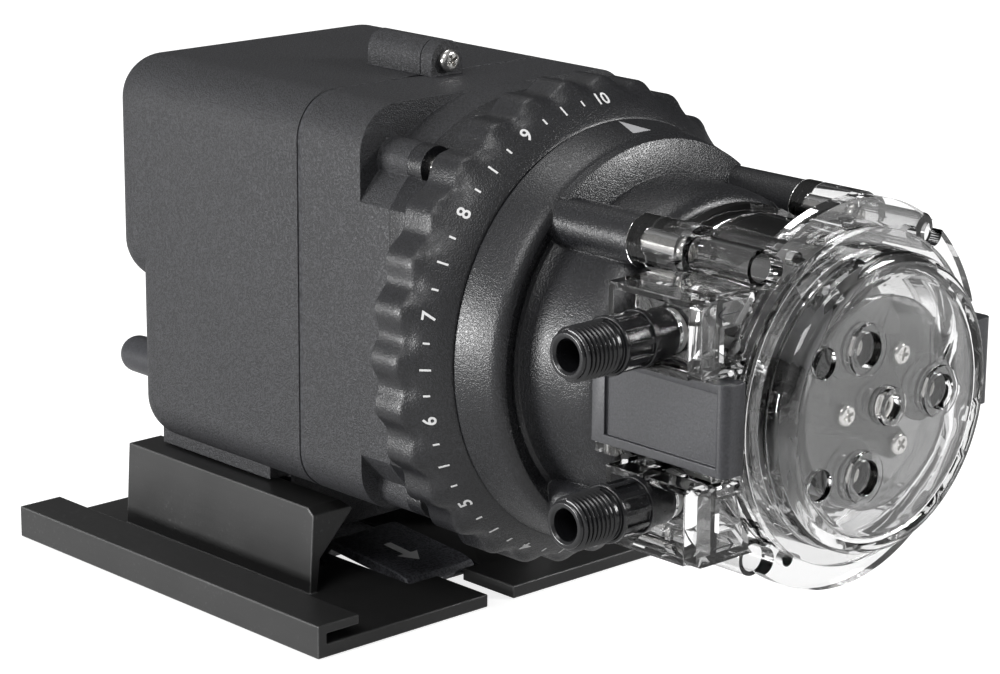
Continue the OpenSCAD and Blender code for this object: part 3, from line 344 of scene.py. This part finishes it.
def grained_plastic(name, shade, rough, grain, depth, edge_radius=0.5, wear=0.15, scuffs=0.3, sparkle=1.0):
    made = Finish(name)
    made.give("IOR", 1.5)
    place = made.place()
    fine = made.noise(1.0 / (grain * MM), 1.0, 0.5, place)
    coarse = made.noise(0.45 / (grain * MM), 2.0, 0.6, place)
    cloud = made.noise(22.0, 3.0, 0.6, place)
    soft = made.softened_normal(edge_radius * MM)
    edge = made.edge(soft, 7.0)
    stretch = made.node("ShaderNodeMapping", {}, {"Vector": place, "Scale": (9.0, 1.0, 14.0),
                                                  "Rotation": (0.3, 0.5, 0.2)})
    streak = made.noise(26.0, 4.0, 0.65, stretch)
    scuff = ((streak - 0.66) * 9.0).kept() * scuffs
    peaks = ((fine * 0.65 + coarse * 0.35 - 0.5) * 3.6 * sparkle + 0.5).kept()
    mottled = made.blend((peaks * 0.8 + cloud * 0.2).kept(), coal(shade * 0.35), coal(shade * 1.75))
    rubbed = made.blend((scuff + edge * wear).kept(), mottled, coal(shade * 3.0 + 0.03))
    made.give("Base Color", rubbed)
    matt = rough + (cloud - 0.5) * 0.16 - (peaks - 0.5) * 0.12 - scuff * 0.1
    made.give("Roughness", matt.kept(0.1, 0.95))
    made.bump(peaks * 0.6 + coarse * 0.4, depth * MM, 1.0, soft)
    return made


housing_grain = grained_plastic("housing_charcoal", 0.018, 0.56, 0.42, 0.15, sparkle=2.0)
cover_grain = grained_plastic("cover_black", 0.012, 0.31, 0.4, 0.05, sparkle=1.8)
satin_black = grained_plastic("satin_black", 0.03, 0.36, 0.6, 0.03,
                              edge_radius=0.35, wear=0.25, scuffs=0.12, sparkle=0.5)
dial_black = grained_plastic("dial_black", 0.012, 0.34, 0.4, 0.06,
                             edge_radius=0.4, wear=0.3, scuffs=0.2, sparkle=1.8)
soft_rubber = grained_plastic("soft_rubber", 0.025, 0.75, 0.8, 0.06)
fitting_black = grained_plastic("fitting_black", 0.008, 0.24, 0.7, 0.02,
                                edge_radius=0.12, wear=0.2, scuffs=0.1, sparkle=0.4)
print("black finishes:", housing_grain.material.name, cover_grain.material.name)

# %% [markdown]
# The bracket is an extruded strip with a half-gloss skin. Sawn ends and long edges rub pale first, so
# this finish adds a strong edge tint and long fine draw lines that run with the extrusion.

# %% Finish of the bracket
def drawn_plastic(name, shade, rough):
    made = Finish(name)
    made.give("IOR", 1.5)
    place = made.place()
    soft = made.softened_normal(0.5 * MM)
    edge = made.edge(soft, 9.0)
    along = made.node("ShaderNodeMapping", {}, {"Vector": place, "Scale": (60.0, 1.2, 60.0)})
    lines = made.noise(12.0, 3.0, 0.6, along)
    dust = made.noise(900.0, 2.0, 0.6, place)
    patch = made.noise(30.0, 4.0, 0.65, place)
    worn = (edge * (0.35 + patch * 0.9)).kept()
    speck = ((dust - 0.62) * 6.0).kept() * ((patch - 0.4) * 2.0).kept()
    tone = made.blend(lines * 0.5 + patch * 0.5, grey(shade * 0.75), grey(shade * 1.4))
    made.give("Base Color", made.blend((worn * 0.7 + speck * 0.35).kept(), tone, grey(0.3)))
    made.give("Roughness", (rough + (patch - 0.5) * 0.2 + speck * 0.2).kept(0.08, 0.9))
    made.bump(lines * 0.5 + dust * 0.5, 0.03 * MM, 0.8, soft)
    return made


bracket_skin = drawn_plastic("bracket_skin", 0.018, 0.36)
# The tongue gets a paler, more scuffed black than the bracket. The scuffs and rubbed edges are real wear,
# and the paler shade is painted light that stands in for the light that hardly reaches under the pump.
tongue_wear_and_painted_light = grained_plastic("tongue_wear_and_painted_light", 0.06, 0.4, 0.6, 0.08,
                              edge_radius=0.5, wear=0.9, scuffs=0.9, sparkle=1.5)
print("bracket finish:", bracket_skin.material.name)

# %% [markdown]
# The head is clear polycarbonate. A Principled shader with full transmission bends the light at each
# wall, and its colour takes about a fifth of it at each one, as a thick grey-clear moulding does. A
# slow ripple in the normal gives the wavy look. The roller carrier is the same plastic with smoke in it.

# %% Finishes of clear plastic
def clear_moulding(name, tint, rough, ripple, edge_radius):
    made = Finish(name)
    made.give("Transmission Weight", 1.0)
    made.give("IOR", 1.52)
    place = made.place()
    slow = made.noise(55.0, 2.0, 0.5, place)
    fine = made.noise(420.0, 3.0, 0.6, place)
    soft = made.softened_normal(edge_radius * MM)
    made.give("Base Color", made.blend(slow, grey(tint * 0.97), grey(tint)))
    made.give("Roughness", (rough + (fine - 0.5) * 0.02 + slow * 0.01).kept(0.0, 0.4))
    made.bump(slow * 0.85 + fine * 0.15, ripple * MM, 1.0, soft)
    return made


clear_plastic = clear_moulding("clear_plastic", 0.8, 0.004, 0.012, 0.1)
clear_cover = clear_moulding("clear_cover", 0.84, 0.004, 0.02, 0.15)
smoked_plastic = clear_moulding("carrier_smoke", 0.27, 0.03, 0.05, 0.2)
print("clear finishes:", clear_plastic.material.name, clear_cover.material.name)

# %% [markdown]
# Screws, shafts and bushes are metal. Worked metal shows a fine grain and a slow stain, so each metal
# takes its colour and roughness from two noises, and never from one flat value.

# %% Finishes of metal
def turned_metal(name, low, high, rough, grain=700.0):
    made = Finish(name, Metallic=1.0)
    place = made.place()
    fine = made.noise(grain, 3.0, 0.6, place)
    stain = made.noise(90.0, 3.0, 0.6, place)
    soft = made.softened_normal(0.15 * MM)
    made.give("Base Color", made.blend(fine * 0.5 + stain * 0.5, (*low, 1), (*high, 1)))
    made.give("Roughness", (rough + (stain - 0.5) * 0.2 + (fine - 0.5) * 0.1).kept(0.05, 0.9))
    made.bump(fine, 0.01 * MM, 0.7, soft)
    return made


nickel = turned_metal("bright_nickel", (0.55, 0.54, 0.52), (0.8, 0.79, 0.77), 0.22)
zinc = turned_metal("zinc_sheet", (0.42, 0.43, 0.44), (0.6, 0.61, 0.62), 0.4, 300.0)
bronze = turned_metal("sintered_bronze", (0.45, 0.29, 0.13), (0.62, 0.42, 0.2), 0.45, 1500.0)
brass = turned_metal("machined_brass", (0.6, 0.44, 0.18), (0.78, 0.6, 0.28), 0.3)
iron = turned_metal("stacked_iron", (0.16, 0.165, 0.17), (0.3, 0.3, 0.31), 0.5, 900.0)
copper = turned_metal("varnished_copper", (0.42, 0.16, 0.06), (0.66, 0.3, 0.13), 0.35, 1800.0)
print("metal finishes: 6")

# %% Finishes of rollers, tube and marks
def plain_plastic(name, low, high, rough, scale=300.0):
    made = Finish(name)
    place = made.place()
    fine = made.noise(scale, 3.0, 0.6, place)
    slow = made.noise(60.0, 2.0, 0.5, place)
    made.give("Base Color", made.blend(fine * 0.4 + slow * 0.6, (*low, 1), (*high, 1)))
    made.give("Roughness", (rough + (fine - 0.5) * 0.2).kept(0.05, 0.9))
    made.bump(fine, 0.02 * MM, 0.6)
    return made


roller_grey = plain_plastic("roller_grey", (0.2, 0.2, 0.205), (0.3, 0.3, 0.305), 0.35)
ferrule_white = plain_plastic("ferrule_white", (0.5, 0.5, 0.49), (0.64, 0.64, 0.62), 0.35)
tube_grey = plain_plastic("tube_grey", (0.3, 0.3, 0.295), (0.42, 0.42, 0.41), 0.4)
mark_white = plain_plastic("mark_white", (0.62, 0.62, 0.62), (0.74, 0.74, 0.74), 0.6, 900.0)
mark_grey = plain_plastic("mark_grey", (0.3, 0.3, 0.31), (0.42, 0.42, 0.43), 0.6, 900.0)
arrow_line = plain_plastic("arrow_line", (0.03, 0.03, 0.032), (0.06, 0.06, 0.064), 0.4, 900.0)
print("roller, tube and mark finishes ready")

# %% [markdown]
# Now the mouldings. Each takes a rounding that suits it: about a millimetre on the big shells, less on
# the thin clear walls. The inner pieces, and small ones such as pins and seals, keep their solids and
# take a finish.

# %% Housings, covers and bracket
softened("motor_housing", housing_grain, 0.8, 3)
softened("gear_case", housing_grain, 1.0, 3)
softened("gear_cover", cover_grain, 0.6)
softened("mounting_bracket", bracket_skin, 0.35)
softened("bracket_tongue", tongue_wear_and_painted_light, 0.3)
softened("dovetail_foot", housing_grain, 0.5)
softened("latch_left", satin_black, 0.5, 3)
softened("latch_right", satin_black, 0.5, 3)
softened("cord_gland", satin_black, 0.5, 3)

# %% Clear head
softened("tube_housing", clear_plastic, 0.35)
softened("front_cover", clear_cover, 0.3)
softened("roller_carrier", smoked_plastic, 0.3)
softened("carrier_plate", smoked_plastic, 0.3)

# %% Inner pieces
for node, finish in {
        "housing_seal": soft_rubber, "foot_screws": nickel,
        "stator_core": iron, "stator_coil": copper, "rotor": iron, "motor_shaft": nickel,
        "motor_end_frame": zinc, "motor_bushes": bronze, "cooling_fan": satin_black, "gear_plate": zinc,
        "plate_screws": nickel, "first_gear": brass, "gear_axle": nickel, "main_gear": zinc,
        "main_shaft": nickel, "main_bearing": nickel, "shaft_bush": bronze, "feed_lifter": zinc,
        "pin_carrier": brass, "index_pins": nickel, "pin_spring": nickel,
        "roller_a": roller_grey, "roller_b": roller_grey, "roller_c": roller_grey,
        "roller_pins": nickel, "pump_tube": tube_grey, "tube_ferrules": ferrule_white,
        "fitting_seals": soft_rubber, "latch_pins": nickel}.items():
    painted(node, finish)
print("inner pieces finished")

# %% [markdown]
# The feed dial is a ring that a hand grips in the hollows round its rim. It is drawn as a circle of
# edges that is extruded and scaled from station to station, and then closed into a ring.

# %% Rings turned by extrusion
def turned(name, stations, count, centre=(0.0, SHAFT_Z), axis="Y"):
    """A closed ring. stations are (radius, place along the axis) in millimetres."""
    round_y = axis == "Y"
    tilt = (math.pi / 2, 0, 0) if round_y else (0, math.pi / 2, 0)

    def spot(along):
        return Vector((centre[0], along, centre[1]) if round_y else (along, *centre)) * MM

    was_r, was_s = stations[0]
    bpy.ops.mesh.primitive_circle_add(vertices=count, radius=was_r * MM, location=spot(was_s), rotation=tilt)
    piece = bpy.context.object
    piece.name = name
    settled(piece)
    bpy.ops.object.mode_set(mode="EDIT")
    bpy.ops.mesh.select_mode(type="VERT")
    bpy.ops.mesh.select_all(action="SELECT")
    for radius, place in stations[1:]:
        step = spot(place) - spot(was_s)
        bpy.ops.mesh.extrude_region_move(TRANSFORM_OT_translate={"value": tuple(step)})
        grow = radius / was_r
        size = (grow, 1, grow) if round_y else (1, grow, grow)
        bpy.ops.transform.resize(value=size, center_override=tuple(spot(place)))
        was_r, was_s = radius, place
    bpy.ops.mesh.select_all(action="DESELECT")
    bpy.ops.mesh.select_non_manifold(extend=False)
    bpy.ops.mesh.bridge_edge_loops()
    bpy.ops.mesh.select_all(action="SELECT")
    bpy.ops.mesh.normals_make_consistent(inside=False)
    bpy.ops.object.mode_set(mode="OBJECT")
    return piece


dial = turned("feed_dial_ring", [
    (66.7, -85.5), (66.7, -88.0), (66.7, -91.0), (66.7, -94.2), (66.55, -95.0), (66.1, -95.75),
    (65.3, -96.6), (64.3, -97.75), (62.6, -99.65), (60.5, -102.0), (57.4, -105.5), (56.6, -106.0),
    (54.4, -106.0), (54.4, -100.0), (50.0, -100.0), (50.0, -92.0), (58.0, -92.0), (61.4, -88.5),
    (61.4, -85.5)], 480)
print(dial.name, len(dial.data.vertices), "vertices before the grips")

# %% [markdown]
# The grips are a wave round the rim: thirty waves of sixteen points each. All points at the same place on
# their wave are picked at once and drawn towards the axis by the same share, so the whole rim takes its
# wave in a few dozen steps. On the cone the wave dies away, which leaves the numbers on smooth ground.

# %% Grip waves
GRIPS, WAVE_POINTS, GRIP_DEPTH = 30, 16, 2.2
INSIDE_RIM = 62.0
wave_at = {-85.5: 1.0, -88.0: 1.0, -91.0: 1.0, -94.2: 1.0,
           -95.0: 0.98, -95.75: 0.92, -96.6: 0.78, -97.75: 0.45}
only(dial)
for place, share in wave_at.items():
    for step in range(1, WAVE_POINTS // 2 + 1):
        depth = GRIP_DEPTH * share * (0.5 - 0.5 * math.cos(math.tau * step / WAVE_POINTS)) ** 1.15
        reach = 0.0
        for vertex in dial.data.vertices:
            x, y, z = vertex.co / MM
            turn_part = math.atan2(z - SHAFT_Z, x) / math.tau * GRIPS * WAVE_POINTS
            on_step = abs(round(turn_part)) % WAVE_POINTS in (step, WAVE_POINTS - step)
            radius = math.hypot(x, z - SHAFT_Z)
            vertex.select = on_step and abs(y - place) < 0.02 and radius > INSIDE_RIM
            if vertex.select:
                reach = radius
        bpy.ops.object.mode_set(mode="EDIT")
        shrink = 1 - depth / reach
        bpy.ops.transform.resize(value=(shrink, 1, shrink), center_override=(0, place * MM, SHAFT_Z * MM))
        bpy.ops.mesh.select_all(action="DESELECT")
        bpy.ops.object.mode_set(mode="OBJECT")
bpy.ops.object.shade_smooth_by_angle(angle=math.radians(34))
finished(dial, dial_black, "dial", ["feed_dial"])
print(dial.name, len(dial.data.polygons), "faces with its grips")

# %% [markdown]
# In front of the dial sits the bell: a tapered band, a round shoulder, a shallow valley and a drum, all in
# one moulding. It is turned like the dial, and the valley matters: its inner slope faces away from the
# left lamp, so it stays dark beside the bright band. Four posts and a raised arch are then joined to it
# with a Boolean union, and one Bevel rounds the new corners, inside and out.

# %% Bell with posts and arch
def joined_on(piece, part):
    applied(piece, "BOOLEAN", object=part, operation="UNION", solver="EXACT")
    bpy.data.objects.remove(part, do_unlink=True)


bell = turned("front_bell", [
    (56.88, -106.5), (55.34, -115.5), (55.0, -117.4), (54.3, -119.0), (53.2, -120.2), (51.9, -120.6),
    (50.5, -120.2), (49.0, -119.2), (47.6, -118.7), (46.4, -119.2), (45.6, -120.8), (45.2, -123.5),
    (44.9, -129.0), (44.5, -137.0), (43.8, -141.5), (42.3, -144.1), (40.6, -145.0), (6.0, -145.0),
    (6.0, -142.5), (38.5, -142.2), (41.2, -137.0), (41.6, -126.0), (41.6, -114.5), (50.5, -114.5),
    (51.5, -106.5)], 160)
arch = turned("bell_arch", [
    (54.2, -117.3), (53.9, -121.4), (46.3, -124.6), (44.0, -124.6), (44.0, -117.3)], 160)
ARCH_END = math.radians(37)
only(arch)
bpy.ops.object.mode_set(mode="EDIT")
for side in (-1, 1):
    bpy.ops.mesh.select_all(action="SELECT")
    cut = Vector((side * math.cos(ARCH_END), 0, -math.sin(ARCH_END)))
    bpy.ops.mesh.bisect(plane_co=(0, 0, SHAFT_Z * MM), plane_no=cut, use_fill=True, clear_outer=True)
bpy.ops.mesh.select_all(action="SELECT")
bpy.ops.mesh.normals_make_consistent(inside=False)
bpy.ops.object.mode_set(mode="OBJECT")
joined_on(bell, arch)
for across in (-1, 1):
    for up in (-1, 1):
        spot = Vector((across * POST_X, -131.5, SHAFT_Z + up * POST_UP)) * MM
        bpy.ops.mesh.primitive_cylinder_add(vertices=56, radius=6.6 * MM, depth=31 * MM, location=spot,
                                            rotation=(math.pi / 2, 0, 0))
        joined_on(bell, bpy.context.object)
only(bell)
bpy.ops.object.mode_set(mode="EDIT")
bpy.ops.mesh.select_all(action="SELECT")
bpy.ops.mesh.remove_doubles(threshold=0.00002)
bpy.ops.mesh.dissolve_limited(angle_limit=math.radians(0.6))
bpy.ops.object.mode_set(mode="OBJECT")
rounded(bell, 1.3, 4, 33)
finished(bell, cover_grain, "pump", ["cover_body", "index_plate"])
print(bell.name, len(bell.data.polygons), "faces")

# %% [markdown]
# The screws are bright cross-recess ones. One screw is drawn with its head at the origin: a disc whose
# under face is inset and drawn out into the shank, a Bevel for the pan of the head, and a plain cross
# cut out of it. Each place then gets a copy with its own mesh, turned a little so that no two match.

# %% Cross-recess screws
def cross_screw(name, head_r, head_h, shank_r, length):
    bpy.ops.mesh.primitive_cylinder_add(vertices=40, radius=head_r * MM, depth=head_h * MM,
                                        location=(0, 0, head_h / 2 * MM))
    piece = bpy.context.object
    piece.name = name
    settled(piece)
    bpy.ops.object.mode_set(mode="EDIT")
    bpy.ops.mesh.select_mode(type="FACE")
    bpy.ops.mesh.select_all(action="DESELECT")
    bpy.ops.object.mode_set(mode="OBJECT")
    for face in piece.data.polygons:
        face.select = face.normal.z < -0.9
    bpy.ops.object.mode_set(mode="EDIT")
    bpy.ops.mesh.inset(thickness=(head_r - shank_r) * MM)
    bpy.ops.mesh.extrude_region_move(TRANSFORM_OT_translate={"value": (0, 0, -length * MM)})
    bpy.ops.mesh.select_all(action="DESELECT")
    bpy.ops.object.mode_set(mode="OBJECT")
    for face in piece.data.polygons:
        face.select = face.normal.z > 0.9
    bpy.ops.object.mode_set(mode="EDIT")
    bpy.ops.mesh.bevel(offset=head_h * 0.62 * MM, segments=5, affect="EDGES")
    bpy.ops.object.mode_set(mode="OBJECT")
    blades = []
    for quarter in (0, 90):
        bpy.ops.mesh.primitive_cube_add(size=1, location=(0, 0, (head_h + 0.05) * MM))
        blade = bpy.context.object
        blade.scale = (head_r * 1.15 * MM, head_r * 0.26 * MM, head_h * 1.2 * MM)
        blade.rotation_euler = (0, 0, math.radians(quarter))
        settled(blade)
        blades.append(blade)
    for blade in blades:
        applied(piece, "BOOLEAN", object=blade, operation="DIFFERENCE", solver="EXACT")
        bpy.data.objects.remove(blade, do_unlink=True)
    rounded(piece, 0.12, 2, 28)
    return piece


def screws(pattern, node, spots):
    """Copies of a screw, heads towards -Y, at spots (x, seat, z, turn) in millimetres."""
    for number, (x, seat, z, turned_by) in enumerate(spots):
        copy = pattern.copy()
        copy.data = pattern.data.copy()
        copy.name = "%s_%d" % (node, number + 1)
        bpy.context.collection.objects.link(copy)
        copy.matrix_world = moved(x, seat, z) @ rolled(90, "X") @ rolled(turned_by, "Z")
        settled(copy)
        finished(copy, nickel, body_of[node], [node])
    bpy.data.objects.remove(pattern, do_unlink=True)


CASE_SEAT, LUG_SEAT, HEAD_SEAT, CARRIER_SEAT = -78.8, -40.6, -161.5, -198.4
corners = [(across, up) for across in (-1, 1) for up in (-1, 1)]
case_spots = [(across * EAR_X, CASE_SEAT, SHAFT_Z + up * EAR_UP, 20 + 31 * across + 17 * up)
              for across, up in corners]
screws(cross_screw("case_screw", 3.2, 2.3, 1.75, 49), "case_screws", case_spots)
screws(cross_screw("lug_screw", 3.2, 2.3, 1.75, 16), "case_screws", [(0, LUG_SEAT, 149.8, 28)])
head_spots = [(across * POST_X, HEAD_SEAT, SHAFT_Z + up * POST_UP, 15 + 40 * across + 22 * up)
              for across, up in corners]
screws(cross_screw("head_screw", 2.9, 2.1, 1.75, 61.5), "head_screws", head_spots)
CARRIER_R = 13.4
carrier_spots = [(CARRIER_R * math.cos(math.radians(angle)), CARRIER_SEAT,
                  SHAFT_Z + CARRIER_R * math.sin(math.radians(angle)), 12 + angle)
                 for angle in (61, 181, 301)]
screws(cross_screw("carrier_screw", 2.9, 1.5, 1.5, 11.5), "carrier_screws", carrier_spots)
print("twelve screws placed")

# %% [markdown]
# Each tube fitting is turned about its own axis: lip, fluted body, collar, neck and a stepped bore. The
# outer thread is a real helix. A small six-sided profile stands beside the axis, and the Screw modifier
# winds it eight times round while it climbs.

# %% Tube fittings
RIBS = 10


def tube_fitting(name, node, height):
    centre = (PORT_Y, SHAFT_Z + height)
    body = turned(name, [
        (4.6, -80.0), (5.5, -80.0), (5.9, -79.6), (6.3, -67.0), (7.2, -67.0), (7.35, -66.7),
        (7.35, -65.8), (7.2, -65.5), (6.3, -65.5), (6.3, -57.2), (7.3, -57.2), (7.3, -55.4),
        (6.3, -55.4), (6.3, -48.0), (4.35, -48.0), (4.35, -50.2), (2.6, -50.2), (2.6, -60.0),
        (3.9, -60.0), (3.9, -79.4)], 64, centre, "X")
    rounded(body, 0.25, 2, 30)
    bpy.ops.mesh.primitive_circle_add(vertices=6, radius=0.62 * MM, rotation=(math.pi / 2, 0, 0))
    thread = bpy.context.object
    settled(thread)
    bpy.ops.object.mode_set(mode="EDIT")
    bpy.ops.mesh.select_all(action="SELECT")
    bpy.ops.transform.resize(value=(0.92, 1, 1.35))
    bpy.ops.transform.translate(value=(-78.9 * MM, 0, 5.95 * MM))
    bpy.ops.object.mode_set(mode="OBJECT")
    applied(thread, "SCREW", axis="X", angle=math.tau, screw_offset=1.38 * MM, iterations=8,
            steps=40, render_steps=40)
    bpy.ops.object.mode_set(mode="EDIT")
    bpy.ops.mesh.select_all(action="DESELECT")
    bpy.ops.mesh.select_mode(type="VERT")
    bpy.ops.mesh.select_non_manifold(extend=False)
    bpy.ops.mesh.edge_face_add()
    bpy.ops.mesh.select_all(action="SELECT")
    bpy.ops.mesh.normals_make_consistent(inside=False)
    bpy.ops.object.mode_set(mode="OBJECT")
    thread.matrix_world = moved(0, *centre)
    settled(thread)
    bpy.ops.object.shade_smooth_by_angle(angle=math.radians(50))
    ribs = []
    for number in range(RIBS):
        bpy.ops.mesh.primitive_cube_add(size=1)
        rib = bpy.context.object
        rib.matrix_world = (moved(-61.4, *centre) @ rolled(number * 360 / RIBS + 8, "X")
                            @ moved(0, 0, 6.2) @ Matrix.Diagonal((9.0 * MM, 1.6 * MM, 1.6 * MM, 1)))
        settled(rib)
        rounded(rib, 0.3, 3, 30)
        ribs.append(rib)
    joined([body, thread] + ribs)
    finished(body, fitting_black, "pump", [node])
    print(body.name, len(body.data.polygons), "faces")


tube_fitting("upper_threaded_fitting", "upper_fitting", PORT_UP)
tube_fitting("lower_threaded_fitting", "lower_fitting", -PORT_UP)

# %% [markdown]
# The dial's numbers and ticks are printed on its cone. Each number is a text object, made a mesh, and
# then laid on the cone: its up direction runs out along the slope and its face looks out of it.

# %% Numbers and ticks
# The cone starts at CONE_R and CONE_Y. It loses CONE_DROP of radius over CONE_RUN along the shaft.
CONE_R, CONE_Y = 66.7, -95.0
CONE_RUN, CONE_DROP, CONE_SLANT = 11.0, 9.7, 14.67
CONE_OUT = Vector((0, CONE_RUN, CONE_DROP)).normalized()
CONE_FACE = Vector((0, -CONE_DROP, CONE_RUN)).normalized()
FIRST_MARK, NUMBER_STEP, TICK_STEP = 0.3, 26.0, 6.5


def on_cone(degrees, radius):
    """Places a mark a hair above the dial's cone, degrees clockwise from the top as seen in front."""
    along = CONE_Y - (CONE_R - radius) * CONE_RUN / CONE_DROP
    spot = Vector((0, along, radius)) + CONE_FACE * 0.03
    on_slope = moved(*spot) @ facing((1, 0, 0), CONE_OUT, CONE_FACE)
    return moved(0, 0, SHAFT_Z) @ rolled(degrees, "Y") @ on_slope


def printed_number(text, degrees, radius, height):
    bpy.ops.object.text_add()
    piece = bpy.context.object
    piece.data.body = text
    piece.data.size = height * MM / 0.7
    piece.data.align_x = "CENTER"
    piece.data.align_y = "CENTER"
    piece.data.offset = 0.00008
    piece.data.extrude = 0.00003
    piece.data.resolution_u = 4
    only(piece)
    bpy.ops.object.convert(target="MESH")
    piece = bpy.context.object
    piece.name = "dial_number_" + text
    piece.matrix_world = on_cone(degrees, radius)
    settled(piece)
    finished(piece, mark_white, "dial")


def printed_tick(name, degrees, inner, outer, width):
    bpy.ops.mesh.primitive_cube_add(size=1)
    piece = bpy.context.object
    piece.name = name
    middle = (inner + outer) / 2
    length = (outer - inner) * CONE_SLANT / CONE_DROP
    piece.matrix_world = on_cone(degrees, middle) @ Matrix.Diagonal((width * MM, length * MM, 0.06 * MM, 1))
    settled(piece)
    applied(piece, "BEVEL", width=0.02 * MM, segments=1)
    finished(piece, mark_white, "dial")


for step in range(10):
    printed_number(str(10 - step), FIRST_MARK - NUMBER_STEP * step, 61.6, 3.6)
for step in range(37):
    if step % 4:
        inner, outer = (60.6, 62.6) if step % 4 == 2 else (61.0, 62.2)
        printed_tick("dial_tick_%02d" % step, FIRST_MARK - TICK_STEP * step, inner, outer, 0.55)
print("numbers and ticks on the dial's cone")

# %% [markdown]
# A pale triangle on the fixed band points at the set number, and plain arrows show the way of the flow on
# the two port boxes and the way to push on the tongue. A circle of three vertices is a triangle, and a
# plane makes the shaft. Both are drawn out by a hair, so that they lie on the surface as print does.

# %% Pointer and arrows
def flat_part(vertices, width, length, tip_y, thick):
    """A three- or four-cornered plate in the XY plane, its far edge or tip at tip_y, in millimetres."""
    if vertices == 3:
        bpy.ops.mesh.primitive_circle_add(vertices=3, radius=1, fill_type="NGON")
        piece = bpy.context.object
        piece.scale = (width * MM / math.sqrt(3), length * MM / 1.5, 1)
        piece.location = (0, (tip_y - length / 1.5) * MM, 0)
    else:
        bpy.ops.mesh.primitive_plane_add(size=1)
        piece = bpy.context.object
        piece.scale = (width * MM, length * MM, 1)
        piece.location = (0, (tip_y - length / 2) * MM, 0)
    settled(piece)
    applied(piece, "SOLIDIFY", thickness=thick * MM, offset=1.0)
    return piece


def placed_mark(name, parts, matrix, finish, body):
    joined(parts)
    piece = bpy.context.object
    piece.name = name
    piece.matrix_world = matrix
    settled(piece)
    finished(piece, finish, body)


# The band loses BAND_DROP of radius over BAND_RUN, and the tongue climbs TONGUE_RISE over TONGUE_RUN.
BAND_RUN, BAND_DROP = 9.0, 1.54
TONGUE_RUN, TONGUE_RISE = 29.4, 2.3
band_along = Vector((0, BAND_RUN, BAND_DROP)).normalized()
band_face = Vector((0, -BAND_DROP, BAND_RUN)).normalized()
pointer_turn = moved(0, -107.4, SHAFT_Z + 56.74) @ facing((1, 0, 0), band_along, band_face)
placed_mark("set_pointer", [flat_part(3, 6.4, 8.8, 0, 0.05)], pointer_turn, mark_grey, "pump")
tongue_slope = math.degrees(math.atan2(TONGUE_RISE, TONGUE_RUN))
arrow_turn = moved(-7.6, -30.5, 6.13) @ rolled(tongue_slope, "X") @ rolled(180, "Z")
placed_mark("tongue_arrow", [flat_part(3, 7.6, 5.4, 7.4, 0.05), flat_part(4, 2.7, 9.0, 2.2, 0.05)],
            arrow_turn, mark_white, "tongue")
LINE = 0.35
for name, height, turned_by in (("upper_flow_arrow", 28.9, 90), ("lower_flow_arrow", -28.9, -90)):
    outward = moved(-45.5, -190.02, SHAFT_Z + height) @ rolled(90, "X") @ rolled(turned_by, "Z")
    barbs = []
    for side in (-1, 1):
        barb = flat_part(4, LINE, 2.6, 0, 0.2)
        barb.matrix_world = moved(0, 3.4, 0) @ rolled(side * 42, "Z")
        settled(barb)
        barbs.append(barb)
    placed_mark(name, [flat_part(4, LINE, 7.0, 3.4, 0.2)] + barbs, outward, arrow_line, "pump")
print("pointer and three arrows placed")
